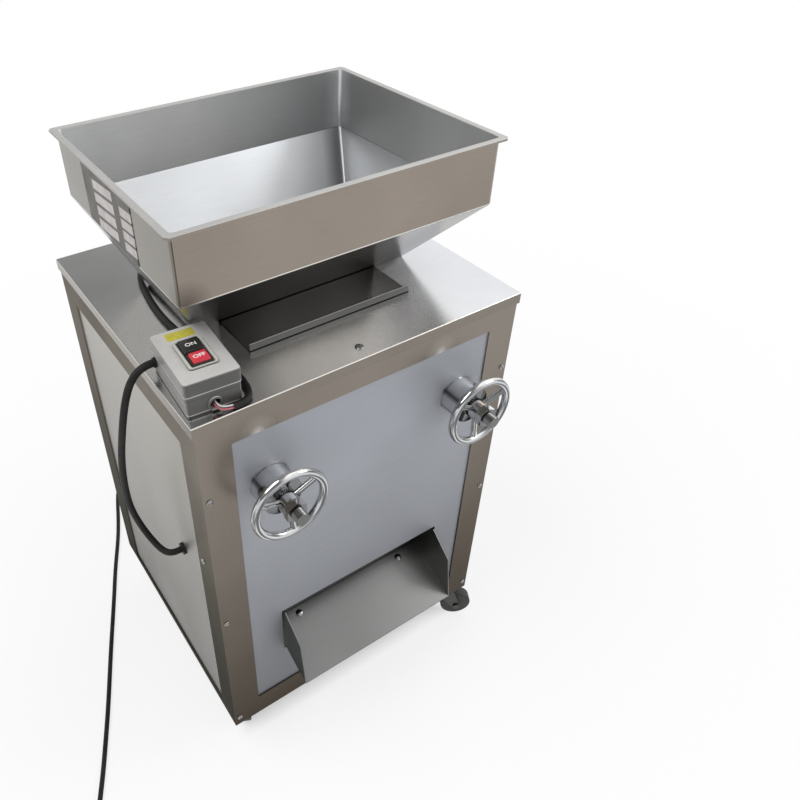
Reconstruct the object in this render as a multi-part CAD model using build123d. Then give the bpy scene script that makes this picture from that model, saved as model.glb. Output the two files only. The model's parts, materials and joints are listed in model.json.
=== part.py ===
"""Roller mill: a cabinet on casters, a hopper, two fluted rollers, their drive and leads.

Millimetres. The machine's front faces -y, +x is to the right of a person facing it, z is up.
Until the last lines x and y are measured from the cabinet's middle and z from the floor.
"""

from build123d import *
import math
import os

os.makedirs("parts", exist_ok=True)

# Cabinet
LID_X = 550.0
LID_Y = 500.0
LID_T = 2.0
LID_LIP = 18.0
LID_FIT = 0.5
LID_BEND = 1.5
BODY_H = 720.0
FRAME_T = 2.5
POST_LEG = 50.0
RAIL_LEG = 48.0
RAIL_FRONT_H = 50.0
RAIL_SIDE_TOP_H = 60.0
RAIL_SIDE_FOOT_H = 15.0
PANEL_T = 1.5
PANEL_LAP = 12.0
FOOT_SIZE = 57.5
FOOT_T = 4.0
WELD_GAP = 0.5

# Inner rails, square tube
TUBE_SIZE = 40.0
TUBE_DEEP = 30.0
TUBE_WALL = 2.5
BEARER_W = 36.0
MOTOR_RAIL_X = (-108.0, 16.0)

# Casters
CASTER_H = 95.0
CASTER_INSET = 32.5
CASTER_PLATE = 56.0
CASTER_PLATE_T = 4.0
CASTER_TRAIL = 32.0
CASTER_BOLT_STEP = 40.0
WHEEL_R = 31.5
WHEEL_W = 22.0
WHEEL_HUB_W = 26.0
WHEEL_HUB_R = 9.0
AXLE_R = 4.0
KING_PIN_R = 6.0
CHEEK_T = 3.0
CROWN_R = 17.0
CROWN_T = 4.0
CROWN_DROP = 11.0
FORK_GAP = 1.0
EYE_R = 8.5
EYE_TILT = 2.125
CASTER_TURN = {"front_left": 65.0, "front_right": 330.0, "rear_left": 345.0, "rear_right": 195.0}

# Hopper
HOPPER_X = 491.0
HOPPER_Y = 381.0
HOPPER_MID_Y = -3.0
HOPPER_CORNER = 8.0
HOPPER_WALL = 2.0
HOPPER_BOX_H = 97.0
RIM_W = 8.0
RIM_T = 3.5
RIM_CHAMFER = 5.0
CONE_H = 130.0
CONE_FOOT_X = 378.0
CONE_FOOT_Y = 153.0
CONE_FOOT_MID_X = 7.8
CONE_FOOT_MID_Y = 14.5
CONE_FOOT_CORNER = 5.0
NAMEPLATE_L = 168.0
NAMEPLATE_H = 81.0
NAMEPLATE_T = 0.8
NAMEPLATE_MID_Y = 6.0
NAMEPLATE_DROP = 54.5

# Feed opening, gate, throat and funnel
FEED_Y = 72.0
FEED_FORE = 4.0
GATE_W = 276.0
GATE_LAP = 6.0
GATE_T = 2.0
GATE_LIFT = 0.2
GATE_LIP_H = 12.0
GATE_OUT = 127.0
GATE_PLAY = 1.0
GATE_CUT = 13.0
GUIDE_W = 6.5
GUIDE_H = 10.0
GUIDE_L = 120.0
SHEET_T = 1.5
THROAT_TOP = 48.0
THROAT_CORNER = 14.0
THROAT_FIT = 0.3
FUNNEL_SLOT = 42.0
FUNNEL_DROP = 91.0
FUNNEL_FLANGE = 12.0

# Rollers and their frames
ROLLER_R = 60.0
ROLLER_L = 300.0
ROLLER_DEPTH = 150.0
NIP_Y = 15.0
NIP_GAP = 2.0
FLUTES = 60
FLUTE_R = 1.3
SHOULDER_R = 22.0
SHOULDER_L = 3.5
JOURNAL_R = 15.0
SEAT_R = 14.0
FRAME_BLOCK_T = 30.0
FRAME_BLOCK_H = 120.0
FRAME_BLOCK_GAP = 5.0
FRAME_WALL = 40.0
FRAME_REAR = 26.5
BEARING_R = 27.5
BEARING_W = 13.0
CHOCK_L = 64.0
CHOCK_H = 60.0
CHOCK_FIT = 0.15
CHOCK_BACK = 4.0
CHOCK_FORE = 8.0
FIT = 0.02
RUN_FIT = 0.05
SLIDE_FIT = 0.1
SCRAPER_T = 3.0
SCRAPER_H = 30.0
SCRAPER_GAP = 0.5

# Gears between the rollers
GEAR_MODULE = 5.0
GEAR_TEETH = 24
GEAR_W = 24.0
GEAR_GAP = 10.0
GEAR_HALF_TOOTH = 3.35
GEAR_ROOT = 6.0
GEAR_ANGLE = 20.0
SEAT_END = 2.0

# Belt drive and motor
PULLEY_W = 20.0
PULLEY_GAP = 21.0
ROLLER_PULLEY_R = 90.0
MOTOR_PULLEY_R = 40.0
GROOVE_DEEP = 9.0
GROOVE_PLAY = 0.3
BELT_W = 12.0
BELT_T = 8.0
MOTOR_Y = 110.0
MOTOR_HEIGHT = 90.0
MOTOR_R = 72.0
FIN_H = 8.0
FIN_T = 3.0
FINS = 24
MOTOR_X0 = -165.0
MOTOR_X1 = 75.0
BELL_L = 22.0
FAN_COVER_L = 50.0
FAN_COVER_T = 2.0
SHAFT_R = 12.0
SHAFT_IN = 70.0
MOTOR_FOOT_T = 12.0
MOTOR_FOOT_Y = 140.0
MOTOR_WEB_Y = 80.0
TERMINAL_X = 90.0
TERMINAL_Y = 76.0
TERMINAL_H = 40.0
TERMINAL_MID_X = -50.0
TERMINAL_WALL = 3.0
PAD_RISE = 2.0

# Handwheels, collars and rods
ROD_R = 10.0
ROD_OUT = 84.0
THREAD_PITCH = 2.5
THREAD_DEEP = 0.8
THREAD_L = 50.0
COLLAR_R = 31.0
COLLAR_LIP_R = 32.0
COLLAR_LIP_T = 3.0
COLLAR_L = 36.0
SPIGOT_R = 20.0
SPIGOT_L = 20.0
HOLE_PLAY = 0.3
HUB_R = 16.0
HUB_L = 24.0
HUB_GAP = 0.3
NUT_AF = 30.0
NUT_T = 12.0
WHEEL_RIM_R = 60.0
WHEEL_TUBE_R = 6.25
WHEEL_DISH = 52.0
SPOKE_R = 4.5
SPOKES = {"left": (35.0, 155.0, 275.0), "right": (25.0, 145.0, 265.0)}

# Outlet tray and inner chute
TRAY_T = 2.0
TRAY_SLOPE = 25.2
TRAY_DROP = 567.0
TRAY_OUT = 61.0
TRAY_IN = 46.5
TRAY_CHEEK_DROP = 467.0
TRAY_NOSE_OUT = 46.5
TRAY_NOSE_DROP = 506.0
SLOT_PLAY_X = 4.0
SLOT_PLAY_Z = 4.0
TRAY_SCREW_X = 111.0
TRAY_SCREW_IN = 35.5
CHUTE_HANG = 6.0
CHUTE_REAR_Y = 85.0
CHUTE_DROP = 3.0
CHUTE_LAP = 33.0

# Fasteners
SCREW_HEAD_R = 5.0
SCREW_HEAD_T = 2.5
SCREW_R = 2.4
SCREW_HOLE = 0.2
POST_SCREW_IN = 9.5
POST_SCREW_DROPS = (137.5, 412.5)
POST_SCREW_FOOT = 21.5
SIDE_SCREW_Y = -215.0
SIDE_SCREW_DROP = 286.5
LID_SCREW_X = -8.0
LID_SCREW_IN = 24.0
BOLT_R = 4.0
BOLT_AF = 13.0
BOLT_HEAD_T = 5.3
BOLT_NUT_T = 6.5

# Switch box on the lid
SWITCH_X = -228.0
SWITCH_Y = -175.5
SWITCH_YAW = -4.0
SWITCH_W = 75.0
SWITCH_L = 117.0
SWITCH_BASE_H = 32.0
SWITCH_COVER_H = 21.0
SWITCH_OVERHANG = 1.0
SWITCH_CORNER = 5.0
SWITCH_WALL = 3.0
SWITCH_TOP_T = 4.0
SWITCH_TOP_R = 3.0
BEZEL_W = 40.0
BEZEL_Y = (-37.0, 25.0)
BEZEL_T = 3.0
BEZEL_CORNER = 4.0
BEZEL_LAP = 3.0
BUTTON_W = 27.0
ON_Y = (-6.0, 22.0)
OFF_Y = (-33.0, -8.0)
ON_RISE = 3.0
OFF_RISE = 4.0
BUTTON_DEEP = 9.0
BUTTON_FLANGE = 2.5
BUTTON_FLANGE_T = 4.0
BUTTON_PLAY = 0.3
CORE_HOLE_R = 7.5
CORE_RING_R = 10.0
CORE_RING_T = 2.5
CORE_HOLE_Z = 12.0
EXIT_Y = 46.0
EXIT_Z = 20.0

# Leads
MOTOR_LEAD_R = 5.25
LEAD_R = 4.5
CORE_R = 1.2
ARC_SHARE = 0.45
BOSS_T = 4.0
BOX_BOSS_R = 7.0
PANEL_BOSS_R = 10.0
BOSS_PLUG_R = 5.4
PANEL_PLUG_R = 8.0
LEAD_PANEL_Y = -127.0
LEAD_PANEL_DROP = 349.0
LEAD_LIFT = 0.1
LEAD_STUB = 14.0
TIE_T = 1.0
TIE_W = 8.0
TIE_PLAY = 0.4
COIL_R = 60.0
COIL_PITCH = 10.0
COIL_STEP = 9.6
COIL_HALF_TURNS = 3
COIL_TAIL = 22.0
PLUG_W = 38.0
PLUG_H = 28.0
PLUG_L = 36.0
PLUG_CORNER = 8.0
PLUG_NECK_R = 8.0
PLUG_NECK_L = 20.0
PIN_L = 19.0
PIN_W = 6.3
PIN_T = 1.6
PIN_STEP = 12.0
PIN_RISE = 4.0
PIN_DROP = 6.0

# Places worked out from the sizes above
HALF_X = LID_X / 2 - LID_T - LID_FIT
HALF_Y = LID_Y / 2 - LID_T - LID_FIT
Z_FRAME = CASTER_H
Z_LID = Z_FRAME + BODY_H
Z_TOP = Z_LID - LID_T
IN_X = HALF_X - FRAME_T
IN_Y = HALF_Y - FRAME_T
RAIL_END_X = HALF_X - POST_LEG
RAIL_END_Y = HALF_Y - POST_LEG
PANEL_BACK_X = IN_X - PANEL_T
PANEL_BACK_Y = IN_Y - PANEL_T
AXIS_Z = Z_LID - ROLLER_DEPTH
CENTRES = 2 * ROLLER_R + NIP_GAP
FRONT_Y = NIP_Y - CENTRES / 2
REAR_Y = NIP_Y + CENTRES / 2
BLOCK_X0 = ROLLER_L / 2 + FRAME_BLOCK_GAP
BLOCK_X1 = BLOCK_X0 + FRAME_BLOCK_T
BLOCK_MID = (BLOCK_X0 + BLOCK_X1) / 2
SCREW_X = BLOCK_MID
GEAR_X = BLOCK_X1 + GEAR_GAP
PULLEY_X = -(BLOCK_X1 + PULLEY_GAP + PULLEY_W / 2)
BEARER_TOP = AXIS_Z - FRAME_BLOCK_H / 2
BEARER_FOOT = BEARER_TOP - TUBE_SIZE
BEARER_X0 = BLOCK_MID - BEARER_W / 2
CHUTE_X = 2 * (BEARER_X0 + CHUTE_HANG)
TRAY_X = CHUTE_X + 2 * TRAY_T
CHOCK_Y0 = FRONT_Y - CHOCK_L / 2
WINDOW_Y0 = CHOCK_Y0 - CHOCK_FORE
WINDOW_Y1 = FRONT_Y + CHOCK_L / 2 + CHOCK_BACK
BLOCK_Y0 = WINDOW_Y0 - FRAME_WALL
BLOCK_Y1 = REAR_Y + BEARING_R + FRAME_REAR
MOTOR_RAIL_TOP = Z_FRAME + FRAME_T + TUBE_SIZE
MOTOR_Z = MOTOR_RAIL_TOP + MOTOR_HEIGHT
SHELF_Z = Z_LID + CONE_H
RIM_Z = SHELF_Z + HOPPER_BOX_H
FEED_X = GATE_W - 2 * GATE_LAP
FEED_MID_Y = NIP_Y - FEED_FORE
GATE_Z = Z_LID + GATE_LIFT
THROAT_Z = GATE_Z + GATE_T + 2 * GATE_LIFT
COLLAR_FACE = -IN_Y - COLLAR_L
HUB_FACE = COLLAR_FACE - HUB_GAP - HUB_L
NUT_FACE = HUB_FACE - NUT_T
ROD_TIP = -HALF_Y - ROD_OUT
BELT_GAP = GROOVE_PLAY
CASTER_X = HALF_X - CASTER_INSET
CASTER_Y = HALF_Y - CASTER_INSET
PLATE_Z = Z_FRAME - CASTER_PLATE_T
TRAY_TAN = math.tan(math.radians(TRAY_SLOPE))
TRAY_COS = math.cos(math.radians(TRAY_SLOPE))
COIL_Z = TIE_T + TIE_PLAY + LEAD_R
FLOOR_Z = LEAD_R + LEAD_LIFT

X_AXIS = (1, 0, 0)
Y_AXIS = (0, 1, 0)
Z_AXIS = (0, 0, 1)
SIDES = (-1, 1)
CORNERS = {"front_left": (-1, -1), "front_right": (1, -1), "rear_left": (-1, 1), "rear_right": (1, 1)}
FROM_START = (Align.CENTER, Align.CENTER, Align.MIN)

# Lead routes, points chosen by hand from the cabinet's middle, z from the lid's top face
MOTOR_LEAD_ROUTE = [
    (-300.0, -127.0, 6.0),
    (-314.0, -129.0, -24.0),
    (-324.0, -124.0, -72.0),
    (-330.0, -108.0, -135.0),
    (-330.0, -89.0, -205.0),
    (-326.0, -77.0, -268.0),
    (-316.0, -84.0, -315.0),
    (-306.0, -104.0, -340.0),
    (-299.0, -119.0, -347.0),
]
CORE_ROUTES = [
    [(-231.8, -229.9, 14.0), (-232.5, -240.2, 13.5), (-226.0, -244.5, 9.2), (-213.0, -244.5, 7.0)],
    [(-233.5, -229.9, 11.0), (-234.4, -241.2, 10.6), (-227.0, -246.4, 6.0), (-213.0, -246.2, 3.9)],
    [(-230.1, -229.9, 11.0), (-230.7, -239.0, 10.6), (-225.2, -242.6, 6.0), (-213.0, -242.8, 3.9)],
]
LID_ROUTE = [
    (-213.0, -244.5, 5.0),
    (-200.0, -245.3, 4.8),
    (-186.5, -237.5, 4.8),
    (-180.5, -223.0, 4.8),
    (-178.0, -200.0, 4.8),
    (-177.0, -163.0, 4.8),
    (-179.0, -126.0, 4.8),
    (-187.0, -100.0, 4.8),
    (-197.5, -80.0, 4.8),
    (-201.5, -52.0, 4.8),
    (-203.5, -10.0, 4.8),
    (-200.0, 36.0, 4.8),
    (-195.0, 70.0, 4.8),
    (-189.0, 104.0, 4.8),
    (-176.0, 130.0, 4.8),
    (-152.0, 148.0, 4.8),
    (-126.0, 172.0, 4.8),
    (-110.0, 203.0, 6.0),
    (-103.0, 230.5, 15.5),
    (-99.0, 253.0, 17.0),
    (-97.5, 274.0, 8.6),
    (-97.0, 289.0, -8.0),
    (-96.5, 295.5, -30.0),
    (-96.5, 298.0, -62.0),
    (-96.0, 298.5, -115.0),
    (-94.0, 297.0, -195.0),
    (-88.0, 294.0, -305.0),
    (-79.0, 292.0, -425.0),
    (-70.0, 292.0, -545.0),
    (-64.0, 295.0, -650.0),
    (-61.0, 302.0, -725.0),
    (-62.0, 317.0, -775.0),
    (-64.0, 343.0, -803.0),
]
FLOOR_ROUTE = [
    (-67.0, 376.0),
    (-76.0, 415.0),
    (-90.0, 458.0),
    (-112.0, 497.0),
    (-142.0, 525.0),
    (-180.0, 530.0),
    (-212.0, 508.0),
    (-229.0, 468.0),
    (-250.0, 410.0),
    (-274.0, 352.0),
    (-311.0, 276.0),
    (-345.5, 197.0),
    (-397.0, 84.0),
    (-446.0, -28.0),
    (-478.0, -96.0),
    (-502.0, -146.0),
    (-524.0, -188.0),
    (-541.0, -222.0),
    (-556.5, -254.0),
]
COIL_APPROACH = [(-571.0, -286.0), (-585.0, -318.0)]


# Plain solids
def block(x0, x1, y0, y1, z0, z1):
    """Box between two opposite corners."""
    middle = Pos((x0 + x1) / 2, (y0 + y1) / 2, (z0 + z1) / 2)
    return middle * Box(abs(x1 - x0), abs(y1 - y0), abs(z1 - z0))


def rod(radius, start, axis, length):
    """Round bar from a point along an axis."""
    return Plane(origin=start, z_dir=axis) * Cylinder(radius, length, align=FROM_START)


def ring(outer, inner, start, axis, length):
    """Round bar with a bore."""
    return rod(outer, start, axis, length) - rod(inner, start, axis, length)


def plate_x(outline, x0, x1):
    """Plate with an outline in (y, z), between two x values."""
    face = make_face(Polyline(*[(x0, y, z) for y, z in outline], close=True))
    return extrude(face, amount=x1 - x0, dir=X_AXIS)


def plate_y(outline, y0, y1):
    """Plate with an outline in (x, z), between two y values."""
    face = make_face(Polyline(*[(x, y0, z) for x, z in outline], close=True))
    return extrude(face, amount=y1 - y0, dir=Y_AXIS)


def plate_z(outline, z0, z1):
    """Plate with an outline in (x, y), between two z values."""
    face = make_face(Polyline(*[(x, y, z0) for x, y in outline], close=True))
    return extrude(face, amount=z1 - z0, dir=Z_AXIS)


def rounded_block(width, depth, corner, z0, z1):
    """Upright block with round corners, about the origin."""
    return Pos(0, 0, z0) * extrude(RectangleRounded(width, depth, corner), amount=z1 - z0)


def hexagon(across, start, axis, length):
    """Hexagonal bar from a point along an axis."""
    outline = RegularPolygon(across / 2, 6, major_radius=False)
    return Plane(origin=start, z_dir=axis) * extrude(outline, amount=length)


def square_tube(x0, x1, y0, y1, z0, z1, along):
    """Square tube along x or y."""
    end_x = 0 if along == "x" else TUBE_WALL
    end_y = 0 if along == "y" else TUBE_WALL
    hollow = block(x0 + end_x, x1 - end_x, y0 + end_y, y1 - end_y, z0 + TUBE_WALL, z1 - TUBE_WALL)
    return block(x0, x1, y0, y1, z0, z1) - hollow


def ruled(lower, upper):
    """Solid with straight sides between two flat outlines."""
    return loft([lower, upper], ruled=True)


# Fasteners
def screw_places():
    """Each screw's seat, the way that its head points and the depth of its hole."""
    places = []
    for z in [Z_LID - drop for drop in POST_SCREW_DROPS] + [Z_FRAME + POST_SCREW_FOOT]:
        for side in SIDES:
            places.append(((side * (HALF_X - POST_SCREW_IN), -HALF_Y, z), (0, -1, 0), FRAME_T))
    for side in SIDES:
        places.append(((side * HALF_X, SIDE_SCREW_Y, Z_LID - SIDE_SCREW_DROP), (side, 0, 0), FRAME_T))
        places.append(((LID_SCREW_X, side * (LID_Y / 2 - LID_SCREW_IN), Z_LID), Z_AXIS, LID_T))
    seat_y = -HALF_Y + TRAY_SCREW_IN
    normal = (0, -math.sin(math.radians(TRAY_SLOPE)), TRAY_COS)
    for side in SIDES:
        places.append(((side * TRAY_SCREW_X, seat_y, tray_floor(seat_y)), normal, TRAY_T))
    return places


def screw(place):
    seat, axis, depth = place
    inward = tuple(-part for part in axis)
    return rod(SCREW_HEAD_R, seat, axis, SCREW_HEAD_T) + rod(SCREW_R, seat, inward, depth)


def drill_screws(solid):
    """The solid with a hole for each screw that goes through it."""
    for seat, axis, depth in screw_places():
        inward = tuple(-part for part in axis)
        solid -= rod(SCREW_R + SCREW_HOLE, seat, inward, depth)
    return solid


def bolt_places(corner):
    """Middles of one caster's four bolts."""
    side_x, side_y = CORNERS[corner]
    half = CASTER_BOLT_STEP / 2
    return [(side_x * CASTER_X + u * half, side_y * CASTER_Y + v * half) for u in SIDES for v in SIDES]


def caster_bolt(x, y):
    """Hex bolt from under the caster's plate, with its nut on the foot plate."""
    grip = CASTER_PLATE_T + FOOT_T
    head = hexagon(BOLT_AF, (x, y, PLATE_Z - BOLT_HEAD_T), Z_AXIS, BOLT_HEAD_T)
    shank = rod(BOLT_R, (x, y, PLATE_Z), Z_AXIS, grip)
    nut = hexagon(BOLT_AF, (x, y, PLATE_Z + grip), Z_AXIS, BOLT_NUT_T)
    return head + shank + nut


def cabinet_fasteners():
    bolts = [caster_bolt(x, y) for corner in CORNERS for x, y in bolt_places(corner)]
    return [screw(place) for place in screw_places()] + bolts


# Cabinet
def corner_post(corner):
    """Folded angle post with the foot plate that its caster is bolted to."""
    side_x, side_y = CORNERS[corner]
    angle = [(0, 0), (POST_LEG, 0), (POST_LEG, FRAME_T), (FRAME_T, FRAME_T), (FRAME_T, POST_LEG), (0, POST_LEG)]
    outline = [(side_x * (HALF_X - u), side_y * (HALF_Y - v)) for u, v in angle]
    foot_x = side_x * (IN_X - FOOT_SIZE)
    foot_y = side_y * (IN_Y - FOOT_SIZE)
    post = plate_z(outline, Z_FRAME, Z_TOP)
    post += block(side_x * IN_X, foot_x, side_y * IN_Y, foot_y, Z_FRAME, Z_FRAME + FOOT_T)
    for x, y in bolt_places(corner):
        post -= rod(BOLT_R + SCREW_HOLE, (x, y, Z_FRAME), Z_AXIS, FOOT_T)
    return drill_screws(post)


def frame_rails():
    """Folded angle rails between the posts, top and bottom."""
    end_x = IN_X - FOOT_SIZE - WELD_GAP
    end_y = IN_Y - FOOT_SIZE - WELD_GAP
    rails = []
    for side in SIDES:
        for height, z0, lower in ((RAIL_FRONT_H, Z_TOP - RAIL_FRONT_H, False), (RAIL_FRONT_H, Z_FRAME, True)):
            leg_z = z0 if lower else Z_TOP - FRAME_T
            web = block(-RAIL_END_X, RAIL_END_X, side * HALF_Y, side * IN_Y, z0, z0 + height)
            leg = block(-end_x, end_x, side * HALF_Y, side * (HALF_Y - RAIL_LEG), leg_z, leg_z + FRAME_T)
            rails.append(web + leg)
        for height, z0, lower in (
            (RAIL_SIDE_TOP_H, Z_TOP - RAIL_SIDE_TOP_H, False),
            (RAIL_SIDE_FOOT_H, Z_FRAME, True),
        ):
            leg_z = z0 if lower else Z_TOP - FRAME_T
            web = block(side * HALF_X, side * IN_X, -RAIL_END_Y, RAIL_END_Y, z0, z0 + height)
            leg = block(side * HALF_X, side * (HALF_X - RAIL_LEG), -end_y, end_y, leg_z, leg_z + FRAME_T)
            rails.append(web + leg)
    return rails


def inner_rails():
    """Cross rails, the rollers' bearers on them, and the motor's rails on the bottom frame."""
    rails = []
    for side in SIDES:
        y0, y1 = sorted((side * PANEL_BACK_Y, side * (PANEL_BACK_Y - TUBE_DEEP)))
        rails.append(square_tube(-IN_X, IN_X, y0, y1, BEARER_FOOT - TUBE_SIZE, BEARER_FOOT, "x"))
    end = PANEL_BACK_Y - WELD_GAP
    for side in SIDES:
        x0, x1 = sorted((side * BEARER_X0, side * (BEARER_X0 + BEARER_W)))
        rails.append(square_tube(x0, x1, -end, end, BEARER_FOOT, BEARER_TOP, "y"))
    for x in MOTOR_RAIL_X:
        low = Z_FRAME + FRAME_T
        rails.append(square_tube(x - TUBE_SIZE / 2, x + TUBE_SIZE / 2, -end, end, low, MOTOR_RAIL_TOP, "y"))
    return rails


def top_cover():
    """Lid with a lip folded down all round and the feed opening."""
    half_x = LID_X / 2
    half_y = LID_Y / 2
    lid = block(-half_x, half_x, -half_y, half_y, Z_LID - LID_LIP, Z_LID)
    lid = fillet(lid.faces().sort_by(Axis.Z)[-1].edges(), LID_BEND)
    lid -= block(-half_x + LID_T, half_x - LID_T, -half_y + LID_T, half_y - LID_T, Z_LID - LID_LIP, Z_TOP)
    feed_y = FEED_MID_Y - FEED_Y / 2
    lid -= block(-FEED_X / 2, FEED_X / 2, feed_y, feed_y + FEED_Y, Z_TOP, Z_LID)
    return drill_screws(lid)


def end_panel(side):
    """Front or rear panel behind the posts' flanges."""
    half = RAIL_END_X + PANEL_LAP
    low = Z_FRAME + RAIL_FRONT_H - PANEL_LAP
    high = Z_TOP - RAIL_FRONT_H + PANEL_LAP
    return block(-half, half, side * IN_Y, side * PANEL_BACK_Y, low, high)


def front_panel():
    """Front panel with the outlet slot and the collars' holes."""
    panel = end_panel(-1)
    half = TRAY_X / 2 + SLOT_PLAY_X
    low = tray_floor(-HALF_Y) - TRAY_T / TRAY_COS - SLOT_PLAY_Z / 2
    panel -= block(-half, half, -IN_Y, -PANEL_BACK_Y, low, Z_LID - TRAY_CHEEK_DROP + SLOT_PLAY_Z)
    for side in SIDES:
        panel -= rod(SPIGOT_R + HOLE_PLAY, (side * SCREW_X, -IN_Y, AXIS_Z), Y_AXIS, PANEL_T)
    return panel


def side_panel(side):
    """Left or right panel behind the posts' flanges."""
    half = RAIL_END_Y + PANEL_LAP
    low = Z_FRAME + FOOT_T + WELD_GAP
    high = Z_TOP - RAIL_SIDE_TOP_H + PANEL_LAP
    return block(side * IN_X, side * PANEL_BACK_X, -half, half, low, high)


def left_panel():
    """Left panel with the hole where the motor's lead goes in."""
    hole = rod(PANEL_PLUG_R + SLIDE_FIT, (-IN_X, LEAD_PANEL_Y, Z_LID - LEAD_PANEL_DROP), X_AXIS, PANEL_T)
    return side_panel(-1) - hole


# Hopper and feed
def hopper_section(inset, z):
    """Outline of the hopper's upright box."""
    shape = RectangleRounded(HOPPER_X - 2 * inset, HOPPER_Y - 2 * inset, HOPPER_CORNER - inset)
    return Pos(0, HOPPER_MID_Y, z) * shape


def cone_foot_section(inset):
    """Outline of the cone where it stands on the lid."""
    shape = RectangleRounded(CONE_FOOT_X - 2 * inset, CONE_FOOT_Y - 2 * inset, CONE_FOOT_CORNER - inset)
    return Pos(CONE_FOOT_MID_X, CONE_FOOT_MID_Y, Z_LID) * shape


def hopper_box():
    """Upright hopper walls with a flat flange round the rim."""
    wall = extrude(hopper_section(0, SHELF_Z), amount=HOPPER_BOX_H)
    flange = Pos(0, HOPPER_MID_Y, RIM_Z - RIM_T) * extrude(
        chamfer(Rectangle(HOPPER_X + 2 * RIM_W, HOPPER_Y + 2 * RIM_W).vertices(), RIM_CHAMFER), amount=RIM_T
    )
    return wall + flange - extrude(hopper_section(HOPPER_WALL, SHELF_Z), amount=HOPPER_BOX_H)


def hopper_cone():
    """Tapered plates from the hopper box down to the lid, with a slot for the feed gate."""
    shell = ruled(cone_foot_section(0), hopper_section(0, SHELF_Z))
    shell -= ruled(cone_foot_section(HOPPER_WALL), hopper_section(HOPPER_WALL, SHELF_Z))
    half = GATE_W / 2 + GATE_PLAY + GATE_LIFT
    foot_y = CONE_FOOT_MID_Y - CONE_FOOT_Y / 2
    slot_h = GATE_LIFT + GATE_T + GATE_PLAY
    return shell - block(-half, half, foot_y - GATE_CUT, foot_y + GATE_CUT, Z_LID, Z_LID + slot_h)


def nameplate():
    """Blank plate on the hopper's left wall."""
    high = RIM_Z - NAMEPLATE_DROP + NAMEPLATE_H / 2
    x = -HOPPER_X / 2
    half = NAMEPLATE_L / 2
    return block(x, x - NAMEPLATE_T, NAMEPLATE_MID_Y - half, NAMEPLATE_MID_Y + half, high - NAMEPLATE_H, high)


def cone_span(z, inset):
    """The cone's middle and its widths along x and y at a height above the lid."""
    share = z / CONE_H
    middle_x = CONE_FOOT_MID_X * (1 - share)
    middle_y = CONE_FOOT_MID_Y + share * (HOPPER_MID_Y - CONE_FOOT_MID_Y)
    width = CONE_FOOT_X + share * (HOPPER_X - CONE_FOOT_X) - 2 * inset
    depth = CONE_FOOT_Y + share * (HOPPER_Y - CONE_FOOT_Y) - 2 * inset
    return middle_x, middle_y, width, depth


def throat_insert():
    """Funnel inside the cone's foot, standing on the two guides that the feed gate runs between."""
    middle_x, middle_y, width, depth = cone_span(THROAT_TOP, HOPPER_WALL + THROAT_FIT)

    def lower(out):
        return Pos(0, FEED_MID_Y, THROAT_Z) * Rectangle(FEED_X + 2 * out, FEED_Y + 2 * out)

    def upper(inset):
        shape = RectangleRounded(width - 2 * inset, depth - 2 * inset, THROAT_CORNER)
        return Pos(middle_x, middle_y, Z_LID + THROAT_TOP) * shape

    insert = loft([lower(SHEET_T), upper(0)])
    for side in SIDES:
        inner = side * (GATE_W / 2 + GATE_PLAY)
        outer = inner + side * GUIDE_W
        y = FEED_MID_Y - GUIDE_L / 2
        insert += block(inner, outer, y, y + GUIDE_L, Z_LID, Z_LID + GUIDE_H)
    return insert - loft([lower(0), upper(SHEET_T)])


def feed_gate():
    """Sliding plate with a lip to pull it by, shown open."""
    back = FEED_MID_Y - FEED_Y / 2
    front = back - GATE_OUT
    plate = block(-GATE_W / 2, GATE_W / 2, front, back, GATE_Z, GATE_Z + GATE_T)
    return plate + block(-GATE_W / 2, GATE_W / 2, front, front + GATE_T, GATE_Z, GATE_Z + GATE_LIP_H)


def feed_funnel():
    """Funnel under the lid that leads to the nip between the rollers."""

    def upper(out):
        return Pos(0, FEED_MID_Y, Z_TOP) * Rectangle(FEED_X + 2 * out, FEED_Y + 2 * out)

    def lower(out):
        return Pos(0, NIP_Y, Z_TOP - FUNNEL_DROP) * Rectangle(FEED_X + 2 * out, FUNNEL_SLOT + 2 * out)

    half_x = FEED_X / 2 + FUNNEL_FLANGE
    half_y = FEED_Y / 2 + FUNNEL_FLANGE
    funnel = ruled(lower(SHEET_T), upper(SHEET_T))
    funnel += block(-half_x, half_x, FEED_MID_Y - half_y, FEED_MID_Y + half_y, Z_TOP - SHEET_T, Z_TOP)
    return funnel - ruled(lower(0), upper(0))


# Rollers
def side_frame(side):
    """Cast block that carries the rear roller and guides the front roller's chock."""
    x0 = side * BLOCK_X0
    x1 = side * BLOCK_X1
    axis = (side, 0, 0)
    low = AXIS_Z - FRAME_BLOCK_H / 2
    frame = block(x0, x1, BLOCK_Y0, BLOCK_Y1, low, low + FRAME_BLOCK_H)
    half = CHOCK_H / 2 + CHOCK_FIT
    frame -= block(x0, x1, WINDOW_Y0, WINDOW_Y1, AXIS_Z - half, AXIS_Z + half)
    frame -= rod(BEARING_R + FIT, (x0, REAR_Y, AXIS_Z), axis, FRAME_BLOCK_T)
    return frame - rod(ROD_R + SLIDE_FIT, (side * SCREW_X, BLOCK_Y0, AXIS_Z), Y_AXIS, FRAME_WALL)


def front_chock(side):
    """Block that slides in its side frame and holds the front roller's bearing."""
    x0 = side * BLOCK_X0
    low = AXIS_Z - CHOCK_H / 2
    chock = block(x0, side * BLOCK_X1, CHOCK_Y0, CHOCK_Y0 + CHOCK_L, low, low + CHOCK_H)
    return chock - rod(BEARING_R + FIT, (x0, FRONT_Y, AXIS_Z), (side, 0, 0), FRAME_BLOCK_T)


def bearing(side, y):
    start = (side * BLOCK_MID - BEARING_W / 2, y, AXIS_Z)
    return ring(BEARING_R, JOURNAL_R + RUN_FIT, start, X_AXIS, BEARING_W)


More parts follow.
